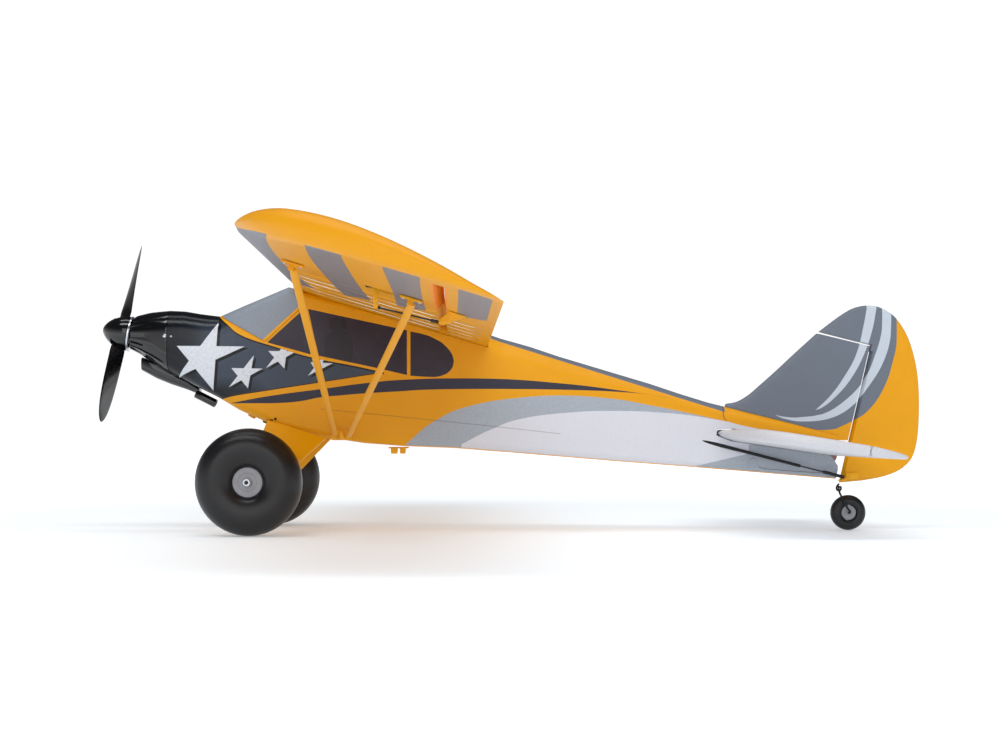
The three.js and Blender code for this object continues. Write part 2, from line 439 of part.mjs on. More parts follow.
// chin scoop under the cowl with the exhaust stub
const scoopRings = [[-406, 176, 191, 13], [-389, 166.8, 186, 15], [-373, 160.4, 178, 15], [-356, 154.8, 170, 14], [-343, 149.6, 160, 11]].map(([x, z0, z1, w]) => {
  const ring = [];
  for (let i = 0; i < 16; i++) {
    const a = 2 * Math.PI * i / 16, s = Math.sin(a), c = Math.cos(a);
    ring.push(V(x, w * Math.sign(c) * Math.abs(c) ** 0.6, (z0 + z1) / 2 + (z1 - z0) / 2 * Math.sign(s) * Math.abs(s) ** 0.6));
  }
  return ring;
});
const bodyNear = bodyLoft(GAP, -400, -296), cowlNear = loft(COWL_STATIONS.map((x, i) => fuselageRing(i === COWL_STATIONS.length - 1 ? COWL_X + 2 : x, GAP, shearAt(x))));
const stubAxisA = V(-346, -9, 150.5), stubAxisB = V(-324, -11, 139.5);
const chinScoop = biggest(addAll(loft(scoopRings), bar(stubAxisA, stubAxisB, 4.6, 14))
  .subtract(bar(stubAxisA.clone().lerp(stubAxisB, 0.45), stubAxisB.clone().lerp(stubAxisA, -0.2), 3.4, 14))
  .subtract(bodyNear).subtract(cowlNear)
  .subtract(box(-420, -398, -10.5, 10.5, 178.5, 187.5)));

// ------------------------------------------------------------ main gear
const ax = WHEEL.x, az = WHEEL.z, wy = WHEEL.y, legTopX = ax + 13.5, legTopZ = 119.6;
const gearWire = wire([
  V(ax, -134, az), V(ax, -112, az), V(ax, -90, az), V(ax + 0.3, -85.5, az + 2.6), V(ax + 3.5, -72, az + 18), V(ax + 10, -48, az + 45), V(legTopX - 0.6, -37, az + 57.5), V(legTopX, -32, legTopZ - 1.6), V(legTopX, -26, legTopZ), V(legTopX, 0, legTopZ),
  V(legTopX, 26, legTopZ), V(legTopX, 32, legTopZ - 1.6), V(legTopX - 0.6, 37, az + 57.5), V(ax + 10, 48, az + 45), V(ax + 3.5, 72, az + 18), V(ax + 0.3, 85.5, az + 2.6), V(ax, 90, az), V(ax, 112, az), V(ax, 134, az),
], GEAR_WIRE_R, 46, 7);
const gearCover = biggest(bodyLoft(GAP + 1.8, -300, -201).intersect(box(legTopX - 9, legTopX + 9, -24, 24, 100, 125)).subtract(bodyLoft(GAP, -320, -181)));
const fairP = [V(-264, -38.6, 121), V(-201, -38.6, 101), V(-247, -87, 58.5), V(-283, -87, 62)];
function fairing() {
  // flat foam plate: outline in its own plane, 4 mm thick
  const n = fairP[1].clone().sub(fairP[0]).cross(fairP[3].clone().sub(fairP[0])).normalize();
  const e1 = fairP[1].clone().sub(fairP[0]).normalize(), e2 = n.clone().cross(e1);
  const to2 = (p) => { const d = p.clone().sub(fairP[0]); return new THREE.Vector2(d.dot(e1), d.dot(e2)); };
  const shape = new THREE.Shape(fairP.map(to2));
  const g = new THREE.ExtrudeGeometry(shape, { depth: 2.4, bevelEnabled: true, bevelThickness: 0.8, bevelSize: 0.8, bevelOffset: -0.8, bevelSegments: 1 });
  g.translate(0, 0, -1.2);
  g.applyMatrix4(frameAt(fairP[0], e1, e2, n));
  return { s: solid(g), n };
}
const fair = fairing();
// the leg wire runs in a groove in the inner face of the plate
const legGroove = wire([V(ax + 0.3, -92, az - 4), V(ax + 3.5, -72, az + 18), V(ax + 10, -48, az + 45), V(legTopX - 0.6, -37, az + 57.5), V(legTopX + 0.5, -31, az + 64)], GEAR_WIRE_R + 1.0, 8, 8);
const gearFairingLeft = biggest(fair.s.subtract(legGroove).subtract(bodyLoft(GAP, -300, -116)));

// wheels
function tyreProfile(R, crest, half, rim, innerHalf) {
  const p = [], n = 5;
  for (let i = 0; i <= n; i++) { const a = Math.PI / 2 * i / n; p.push([crest + (R - crest) * Math.cos(a), -half * Math.sin(a)]); }
  for (let i = 1; i <= 3; i++) { const a = Math.PI / 2 * i / 3; p.push([crest - (crest - rim) * Math.sin(a), -innerHalf - (half - innerHalf) * Math.cos(a)]); }
  for (let i = 3; i >= 1; i--) { const a = Math.PI / 2 * i / 3; p.push([crest - (crest - rim) * Math.sin(a), innerHalf + (half - innerHalf) * Math.cos(a)]); }
  for (let i = n; i >= 1; i--) { const a = Math.PI / 2 * i / n; p.push([crest + (R - crest) * Math.cos(a), half * Math.sin(a)]); }
  p.push(p[0]);
  return p;
}
const tyreP = tyreProfile(TYRE_R, TYRE_CREST_R, TYRE_HALF_W, RIM_R + 0.4, 11);
const tyreLeft = turned(tyreP, 30, V(ax, -wy, az));
const hubP = [[2.3, -13.5], [5.2, -13.5], [5.2, -11.2], [RIM_R, -11.2], [RIM_R, 11.2], [5.2, 11.2], [5.2, 13.5], [2.3, 13.5], [2.3, -13.5]];
const hubLeft = turned(hubP, 18, V(ax, -wy, az));
const collarP = [[2.1, -3], [3.9, -3], [3.9, 3], [2.1, 3], [2.1, -3]];
const collarLeft = turned(collarP, 14, V(ax, -wy - 17.2, az));

// struts: flat-oval bars from the cabin foot to the wing
function strut(foot, head) {
  const d = head.clone().sub(foot).normalize(), wide = V(1, 0, 0).addScaledVector(d, -d.x).normalize(), thin = d.clone().cross(wide);
  const ringAt = (p, k) => [...Array(10)].map((_, i) => { const a = 2 * Math.PI * i / 10; return p.clone().addScaledVector(wide, 3.6 * k * Math.cos(a)).addScaledVector(thin, 1.9 * Math.sin(a)); });
  const L = head.clone().sub(foot).length();
  const bars = loft([ringAt(foot, 0.75), ringAt(foot.clone().addScaledVector(d, 8), 1), ringAt(foot.clone().addScaledVector(d, L - 9), 1), ringAt(head, 0.8)]);
  return bars;
}
const headZ = (x) => 202.7 + (-32.7 - x) * 0.2962;
function strutFitting(x) {                    // foot plate and lug screwed under the wing
  const g = new THREE.BoxGeometry(20, 7, 2.2);
  g.translate(0, 0, -1.1 - GAP);
  const lug = new THREE.BoxGeometry(5, 4.5, 6);
  lug.translate(0, 0, -4.6);
  const f = frameAt(V(x, -425, headZ(x)), eU, V(0, 1, 0), eN);
  return solid(moved(g, f)).add(solid(moved(lug, f)));
}
const strutFront = addAll(strut(V(-190.2, -42.6, 104), V(-199, -425, headZ(-199) - 6)), strutFitting(-199));
const strutRear = addAll(strut(V(-176.8, -42.6, 103), V(-98, -425, headZ(-98) - 6)), strutFitting(-98));
const strutBracket = addAll(box(-195, -173, -40.4, -38 - GAP, 99.5, 110), box(-186, -181, -46, -40.2, 99.5, 108));
// rear float mount on the belly
const floatMount = addAll(box(-134, -112, -16, 16, 90.4, 92.2 - GAP), box(-131.5, -124.5, -12, 12, 84.5, 91), box(-121.5, -115.5, -12, 12, 84.5, 91))
  .subtract(bodyLoft(GAP, -160, -61));

// --------------------------------------------------- aileron drive (port)
const servoBody = addAll(box(SERVO_X - 11.4, SERVO_X + 11.4, -SERVO_Y - 8.4, -SERVO_Y + 0.4, servoBottom + 2.2, servoBottom + 12.2));
const ARM_X = -130, ARM_Z = servoBottom + 3.2, ARM_L = 17.4, ARM_Y = -SERVO_Y + 2.2;
const servoArm = addAll(slabXZ([[ARM_X - 3.4, ARM_Z + 3], [ARM_X + 3.4, ARM_Z + 3], [ARM_X + 1.8, ARM_Z - ARM_L - 1.6], [ARM_X - 1.8, ARM_Z - ARM_L - 1.6]], ARM_Y - 0.9, ARM_Y + 0.9, 0));
const AP_A = V(ARM_X, ARM_Y + 2.6, ARM_Z - ARM_L), AP_B = V(-73.5, ARM_Y + 2.6, 202.6);
function rodWithEnds(a, b, r, pinTo) {
  const e = b.clone().sub(a).normalize();
  return addAll(bar(a, b, r, 8), bar(a.clone().addScaledVector(e, -1.6), a.clone().addScaledVector(e, 4), 1.5, 8), bar(b.clone().addScaledVector(e, -9), b.clone().addScaledVector(e, 1.8), 1.6, 8));
}
const aileronRod = rodWithEnds(AP_A, AP_B, 0.8);
const hornU = (x) => headZ(x);
const aileronHorn = addAll(
  slabXZ([[-66.2, hornU(-66.2) - GAP], [-54, hornU(-54) - GAP], [-54.4, hornU(-54) - 2.4], [-70.8, 200.2], [-75.4, 201.4], [-75.2, 204.6]], ARM_Y - 0.7, ARM_Y + 0.7),
  slabXZ([[-66.2, hornU(-66.2) - GAP], [-52, hornU(-52) - GAP], [-52, hornU(-52) - 1.9], [-66.2, hornU(-66.2) - 1.9]], ARM_Y - 5, ARM_Y + 5));

// ----------------------------------------------------------------- rudder
const pxz = (list) => list;
const rudderOutline = pxz([
  [hingeXAt(52.4) + 1.0, 52.4], [390.4, 54.7], [413.4, 59.2], [431, 66.2], [441.6, 75], [446, 82], [450.3, 97.9], [452.6, 124.4], [452.2, 159.7], [448.6, 186.3], [439.8, 214.5], [428.3, 233], [422.1, 238.3], [406.3, 247.2], [395.8, 248.5], [379.7, 245.4], [365.7, 237.4], [341, 219.6],
  [hingeXAt(204.8) + 1.0, 204.8], [hingeXAt(120) + 1.0, 120]]);
const rudderTaper = (() => {
  const g = new THREE.ExtrudeGeometry(new THREE.Shape([[-60, -4.6], [-20, -FIN_HALF_T], [8, -FIN_HALF_T], [66, -1.7], [90, -0.6], [90, 0.6], [66, 1.7], [8, FIN_HALF_T], [-20, FIN_HALF_T], [-60, 4.6]].map(([x, y]) => new THREE.Vector2(x, y))), { depth: 260, bevelEnabled: false });
  g.translate(0, 0, -20);
  g.applyMatrix4(frameAt(RUDDER_BASE, V(RUDDER_AXIS.z, 0, -RUDDER_AXIS.x), V(0, 1, 0), RUDDER_AXIS));
  return solid(g);
})();
// front edge bevelled both ways below the balance so that it swings
const rudderBevel = (side) => {
  const g = new THREE.ExtrudeGeometry(new THREE.Shape([[-3, side * 12], [-3, side * 0.9], [1.0, side * 0.9], [6.2, side * 9], [6.2, side * 12]].map(([x, y]) => new THREE.Vector2(x, y))), { depth: 151.4, bevelEnabled: false });
  g.translate(0, 0, -2);
  g.applyMatrix4(frameAt(RUDDER_BASE, V(RUDDER_AXIS.z, 0, -RUDDER_AXIS.x), V(0, 1, 0), RUDDER_AXIS));
  return solid(g);
};
const rudder = biggest(cutAll(slabXZ(rudderOutline, -8, 8, 0).intersect(rudderTaper), rudderBevel(1), rudderBevel(-1)));
// steering horn under the rudder foot, tail-wheel spring wire and wheel
const RH_Z = 60.4;
const rudderHorn = addAll(box(366.9 + 3, 384, -FIN_HALF_T - 1.9, -FIN_HALF_T - GAP, 56.5, 63.5), box(361, 366, -18.6, -FIN_HALF_T - 0.8, 54.6, 56.0), box(364, 372.5, -FIN_HALF_T - 2.2, -FIN_HALF_T - 0.8, 54.6, 57.5));
const TWZ = TAIL_WHEEL.z, TWX = TAIL_WHEEL.x;
const tailWire = wire([V(364.2, 0, 51.4), V(361.5, 0, 47), V(362.5, 0, 44), V(366, 0, 44.5), V(366.2, 0, 47.4), V(363.6, -1.7, 47.6), V(364, -3.2, 42), V(367, -9.4, 33), V(371, -10.6, 25), V(TWX, -10.8, TWZ + 1.5), V(TWX, -9.6, TWZ), V(TWX, -5, TWZ), V(TWX, 9.5, TWZ)], 1.1, 46, 6);
const tailTyreP = tyreProfile(TAIL_TYRE_R, 13.6, 6.6, TAIL_RIM_R + 0.35, 4.2);
const tailTyre = turned(tailTyreP, 20, TAIL_WHEEL);
const tailHub = turned([[1.5, -5.2], [3, -5.2], [3, -4.2], [TAIL_RIM_R, -4.2], [TAIL_RIM_R, 4.2], [3, 4.2], [3, 5.2], [1.5, 5.2], [1.5, -5.2]], 14, TAIL_WHEEL);

// pushrods and their fixed guide tubes
function sleeve(a, b, x0, x1) {
  const p = rodPoint(a, b, x0), q = rodPoint(a, b, x1);
  return bar(p, q, 1.7, 10).subtract(bar(rodPoint(a, b, x0 - 3), rodPoint(a, b, x1 + 3), 1.15, 10));
}
const rudderSleeve = sleeve(rudderRodA, rudderRodB, 200, 318);
const elevSleeve = sleeve(elevRodA, elevRodB, 200, 312);
const rudderRod = addAll(bar(rodPoint(rudderRodA, rudderRodB, 212), rudderRodB, 0.8, 8), bar(rodPoint(rudderRodA, rudderRodB, 343), rodPoint(rudderRodA, rudderRodB, 366), 1.9, 8));
const elevRod = addAll(bar(rodPoint(elevRodA, elevRodB, 212), elevRodB, 0.8, 8), bar(rodPoint(elevRodA, elevRodB, 327), rodPoint(elevRodA, elevRodB, 349), 1.0, 8));

// ------------------------------------------------------------------ colours
const foamYellow = [0xeca814, 0.55, 0], glossBlack = [0x0c0d10, 0.18, 0], silver = [0xb8bac0, 0.3, 0.9], blackPlastic = [0x17181a, 0.45, 0];
const rubber = [0x242427, 0.75, 0], paleGrey = [0xa9aab2, 0.45, 0], tailGrey = [0x78808c, 0.5, 0], white = [0xe6e6ea, 0.5, 0], steel = [0x2d2e31, 0.4, 0.8];

const airplane = new THREE.Group();
airplane.name = 'foam_airplane';
function add(name, s, [colour, roughness, metalness]) {
  const mesh = new THREE.Mesh(geometryOf(s), new THREE.MeshStandardMaterial({ color: colour, roughness, metalness }));
  mesh.name = name;
  airplane.add(mesh);
}
add('fuselage_left', fuselageLeft, foamYellow);
add('fuselage_right', fuselageRight, foamYellow);
add('windshield', windshield, [0x8c939e, 0.35, 0]);
add('cowl', cowl, glossBlack);
add('chin_scoop', chinScoop, glossBlack);
add('firewall', firewall, blackPlastic);
add('motor_stator', motorStator, silver);
add('motor_bell', motorBell, blackPlastic);
add('spinner_backplate', backplate, silver);
add('propeller', propeller, glossBlack);
add('spinner', spinner, glossBlack);
add('battery_pack', batteryPack, blackPlastic);
add('battery_hatch', batteryHatch, foamYellow);
add('wing_left', wingLeft, foamYellow);
add('wing_right', wingRight, foamYellow);
add('wing_tube', wingTube, blackPlastic);
add('aileron_left', aileronPort, foamYellow);
add('aileron_right', mirrored(aileronPort), foamYellow);
add('aileron_servo_left', servoBody, blackPlastic);
add('aileron_servo_right', mirrored(servoBody), blackPlastic);
add('aileron_arm_left', servoArm, foamYellow);
add('aileron_arm_right', mirrored(servoArm), foamYellow);
add('aileron_rod_left', aileronRod, steel);
add('aileron_rod_right', mirrored(aileronRod), steel);
add('aileron_horn_left', aileronHorn, foamYellow);
add('aileron_horn_right', mirrored(aileronHorn), foamYellow);
add('strut_front_left', strutFront, foamYellow);
add('strut_front_right', mirrored(strutFront), foamYellow);
add('strut_rear_left', strutRear, foamYellow);
add('strut_rear_right', mirrored(strutRear), foamYellow);
add('strut_bracket_left', strutBracket, foamYellow);
add('strut_bracket_right', mirrored(strutBracket), foamYellow);
add('gear_wire', gearWire, steel);
add('gear_cover', gearCover, blackPlastic);
add('gear_fairing_left', gearFairingLeft, foamYellow);
add('gear_fairing_right', mirrored(gearFairingLeft), foamYellow);
add('tyre_left', tyreLeft, rubber);
add('tyre_right', mirrored(tyreLeft), rubber);
add('hub_left', hubLeft, paleGrey);
add('hub_right', mirrored(hubLeft), paleGrey);
add('axle_collar_left', collarLeft, silver);
add('axle_collar_right', mirrored(collarLeft), silver);
add('float_mount_rear', floatMount, foamYellow);
add('tail_fin', tailFin, tailGrey);
add('stabilizer', stabilizer, white);
add('elevator_left', elevatorPort, white);
add('elevator_right', mirrored(elevatorPort), white);
add('elevator_joiner', elevatorJoiner, [0xa07c72, 0.5, 0]);
add('elevator_horn', elevatorHorn, blackPlastic);
add('rudder', rudder, tailGrey);
add('rudder_horn', rudderHorn, foamYellow);
add('rudder_sleeve', rudderSleeve, blackPlastic);
add('rudder_rod', rudderRod, steel);
add('elevator_sleeve', elevSleeve, blackPlastic);
add('elevator_rod', elevRod, steel);
add('tail_wheel_wire', tailWire, steel);
add('tail_tyre', tailTyre, rubber);
add('tail_hub', tailHub, paleGrey);

export default airplane;
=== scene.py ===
"""Foam radio-controlled high-wing trainer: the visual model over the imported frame.
Frame: +X aft, +Y starboard, +Z up, wheels on Z = 0.  Shapes below are written in millimetres and made in metres."""
import math

import bmesh
import bpy
import numpy as np
from mathutils import Matrix, Vector
from mathutils.geometry import delaunay_2d_cdt


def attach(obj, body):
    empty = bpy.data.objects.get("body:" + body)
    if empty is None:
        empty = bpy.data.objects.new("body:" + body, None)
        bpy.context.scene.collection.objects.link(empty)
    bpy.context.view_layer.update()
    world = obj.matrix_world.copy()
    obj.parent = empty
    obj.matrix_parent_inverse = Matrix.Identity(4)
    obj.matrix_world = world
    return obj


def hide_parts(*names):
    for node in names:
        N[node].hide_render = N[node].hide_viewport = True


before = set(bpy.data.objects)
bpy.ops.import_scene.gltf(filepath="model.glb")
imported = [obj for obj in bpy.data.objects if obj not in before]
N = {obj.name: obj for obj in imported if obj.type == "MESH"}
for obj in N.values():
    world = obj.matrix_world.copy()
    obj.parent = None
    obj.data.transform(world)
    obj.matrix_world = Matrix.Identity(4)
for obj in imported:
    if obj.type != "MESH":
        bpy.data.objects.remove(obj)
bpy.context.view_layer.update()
MM = 0.001
RNG = np.random.default_rng(7)
SC = bpy.context.scene


# ============================================================ mesh helpers
def lerp(table, x):
    t = np.array(table, float)
    return np.interp(x, t[:, 0], t[:, 1])


def mesh_of(name, verts, faces, sharp=38, weld=0.0):
    """A closed mesh from millimetre points, outward normals, smooth but for edges over the sharp angle."""
    me = bpy.data.meshes.new(name)
    me.from_pydata([tuple(p) for p in np.asarray(verts, float) * MM], [], faces)
    bm = bmesh.new()
    bm.from_mesh(me)
    if weld:
        bmesh.ops.remove_doubles(bm, verts=bm.verts, dist=weld * MM)
    bmesh.ops.dissolve_degenerate(bm, edges=bm.edges, dist=1e-7)
    bmesh.ops.recalc_face_normals(bm, faces=bm.faces)
    bm.to_mesh(me)
    bm.free()
    me.update()
    o = bpy.data.objects.new(name, me)
    SC.collection.objects.link(o)
    smooth(o, sharp)
    return o


def smooth(o, sharp=38):
    o.data.shade_smooth()
    o.data.set_sharp_from_angle(angle=math.radians(sharp))
    return o


def baked(o):
    """Applies the modifiers."""
    dg = bpy.context.evaluated_depsgraph_get()
    me = bpy.data.meshes.new_from_object(o.evaluated_get(dg), depsgraph=dg)
    o.modifiers.clear()
    o.data = me
    return o


def drop(*objs):
    for o in objs:
        bpy.data.objects.remove(o)


def boolean(o, cutter, how="DIFFERENCE", keep=False):
    m = o.modifiers.new("cut", "BOOLEAN")
    m.operation, m.solver, m.object = how, "EXACT", cutter
    baked(o)
    if not keep:
        drop(cutter)
    return o


def copy_of(o, name):
    c = bpy.data.objects.new(name, o.data.copy())
    SC.collection.objects.link(c)
    return c


def grid_faces(rows, n, closed=True):
    f = []
    for k in range(rows - 1):
        for i in range(n if closed else n - 1):
            a, b = k * n + i, k * n + (i + 1) % n
            f.append((a, b, b + n, a + n))
    return f


def loft(name, rings, sharp=38, caps=True, weld=0.0):
    rings = [np.asarray(r, float) for r in rings]
    n = len(rings[0])
    f = grid_faces(len(rings), n)
    if caps:
        f.append(tuple(range(n))[::-1])
        f.append(tuple(range((len(rings) - 1) * n, len(rings) * n)))
    return mesh_of(name, np.vstack(rings), f, sharp, weld)


def box(name, x0, x1, y0, y1, z0, z1):
    v = [(x, y, z) for x in (x0, x1) for y in (y0, y1) for z in (z0, z1)]
    f = [(0, 1, 3, 2), (4, 6, 7, 5), (0, 4, 5, 1), (2, 3, 7, 6), (0, 2, 6, 4), (1, 5, 7, 3)]
    return mesh_of(name, v, f)


def prism(name, pts, y0, y1):
    """X-Z outline extruded across Y."""
    n = len(pts)
    v = [(x, y0, z) for x, z in pts] + [(x, y1, z) for x, z in pts]
    f = [tuple(range(n)), tuple(range(2 * n - 1, n - 1, -1))] + [(i, i + n, (i + 1) % n + n, (i + 1) % n) for i in range(n)]
    return mesh_of(name, v, f)


def placed(points, o, ex, ey, ez):
    p = np.asarray(points, float)
    return np.asarray(o, float) + p[:, :1] * np.asarray(ex) + p[:, 1:2] * np.asarray(ey) + p[:, 2:3] * np.asarray(ez)


def framed_box(name, o, ex, ey, ez, a, b):
    v = [(x, y, z) for x in (a[0], b[0]) for y in (a[1], b[1]) for z in (a[2], b[2])]
    f = [(0, 1, 3, 2), (4, 6, 7, 5), (0, 4, 5, 1), (2, 3, 7, 6), (0, 2, 6, 4), (1, 5, 7, 3)]
    return mesh_of(name, placed(v, o, ex, ey, ez), f)


def revolve(name, profile, o, ex, ey, ez, seg=96, sharp=38, bump=None):
    """profile (radius, along ey), closed on itself or on the axis."""
    p = np.asarray(profile, float)
    rings = []
    for k in range(seg):
        a = 2 * math.pi * k / seg
        r = p[:, 0] + (bump(a, p[:, 1], p[:, 0]) if bump else 0)
        rings.append(placed(np.c_[r * math.cos(a), p[:, 1], r * math.sin(a)], o, ex, ey, ez))
    n = len(p)
    closed = bool(np.allclose(p[0], p[-1]))
    if closed:
        rings = [r[:-1] for r in rings]
        n -= 1
    v, f = np.vstack(rings), []
    for k in range(seg):
        for i in range(n if closed else n - 1):
            a, b = k * n + i, k * n + (i + 1) % n
            c, d = ((k + 1) % seg) * n + (i + 1) % n, ((k + 1) % seg) * n + i
            f.append((a, b, c, d))
    return mesh_of(name, v, f, sharp, weld=0.002)


def catmull(pts, per=10, closed=False):
    p = np.asarray(pts, float)
    n, out = len(p), []
    segs = n if closed else n - 1
    for i in range(segs):
        q = [p[(i + k) % n] if closed else p[min(max(i + k, 0), n - 1)] for k in (-1, 0, 1, 2)]
        if not closed and i == 0:
            q[0] = 2 * p[0] - p[1]
        if not closed and i == n - 2:
            q[3] = 2 * p[-1] - p[-2]
        t = [0.0]
        for k in range(3):
            t.append(t[-1] + max(1e-6, np.linalg.norm(q[k + 1] - q[k])) ** 0.5)
        for s in np.linspace(t[1], t[2], per, endpoint=False):
            a = [q[k] * (t[k + 1] - s) / (t[k + 1] - t[k]) + q[k + 1] * (s - t[k]) / (t[k + 1] - t[k]) for k in range(3)]
            b = [a[k] * (t[k + 2] - s) / (t[k + 2] - t[k]) + a[k + 1] * (s - t[k]) / (t[k + 2] - t[k]) for k in range(2)]
            out.append(b[0] * (t[2] - s) / (t[2] - t[1]) + b[1] * (s - t[1]) / (t[2] - t[1]))
    if not closed:
        out.append(p[-1])
    return np.array(out)


def tube(name, pts, r, sides=16, per=10, curve=True, sharp=38):
    c = catmull(pts, per) if curve else np.asarray(pts, float)
    t = np.gradient(c, axis=0)
    t /= np.linalg.norm(t, axis=1)[:, None]
    u = np.cross(t[0], (0, 1, 0.1))
    u /= np.linalg.norm(u)
    rr = np.full(len(c), r) if np.isscalar(r) else np.asarray(r, float)
    rings = []
    for k in range(len(c)):
        u = u - t[k] * (u @ t[k])
        u /= np.linalg.norm(u)
        w = np.cross(t[k], u)
        a = np.linspace(0, 2 * np.pi, sides, endpoint=False)
        rings.append(c[k] + rr[k] * (np.cos(a)[:, None] * u + np.sin(a)[:, None] * w))
    return loft(name, rings, sharp)


def join(objs, name):
    bm = bmesh.new()
    for o in objs:
        bm.from_mesh(o.data)
    me = bpy.data.meshes.new(name)
    bm.to_mesh(me)
    bm.free()
    drop(*objs)
    o = bpy.data.objects.new(name, me)
    SC.collection.objects.link(o)
    return o


def cad_copy(node, name, bevel=0.3, sharp=38, segments=2):
    """The CAD node's shape as a new piece with its flat faces merged and its edges eased."""
    bm = bmesh.new()
    bm.from_mesh(N[node].data)
    bmesh.ops.remove_doubles(bm, verts=bm.verts, dist=2e-6)
    bmesh.ops.dissolve_limit(bm, angle_limit=math.radians(1.5), verts=bm.verts, edges=bm.edges)
    bmesh.ops.recalc_face_normals(bm, faces=bm.faces)
    me = bpy.data.meshes.new(name)
    bm.to_mesh(me)
    bm.free()
    o = bpy.data.objects.new(name, me)
    SC.collection.objects.link(o)
    if bevel:
        m = o.modifiers.new("ease", "BEVEL")
        m.width, m.segments, m.limit_method, m.angle_limit = bevel * MM, segments, "ANGLE", math.radians(34)
        m.use_clamp_overlap = True
        baked(o)
    return smooth(o, sharp)


def mirrored(o, name):
    c = copy_of(o, name)
    bm = bmesh.new()
    bm.from_mesh(c.data)
    for v in bm.verts:
        v.co.y = -v.co.y
    bmesh.ops.reverse_faces(bm, faces=bm.faces)
    bm.to_mesh(c.data)
    bm.free()
    return c


def done(o, body, mat, *nodes, slot=None):
    o.data.materials.clear()
    for m in mat if isinstance(mat, (list, tuple)) else [mat]:
        o.data.materials.append(m)
    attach(o, body)
    if nodes:
        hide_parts(*nodes)
    return o


# ========================================================= material helpers
def lin(c):
    return tuple((v / 255 / 12.92) if v / 255 <= 0.04045 else ((v / 255 + 0.055) / 1.055) ** 2.4 for v in c) + (1.0,)


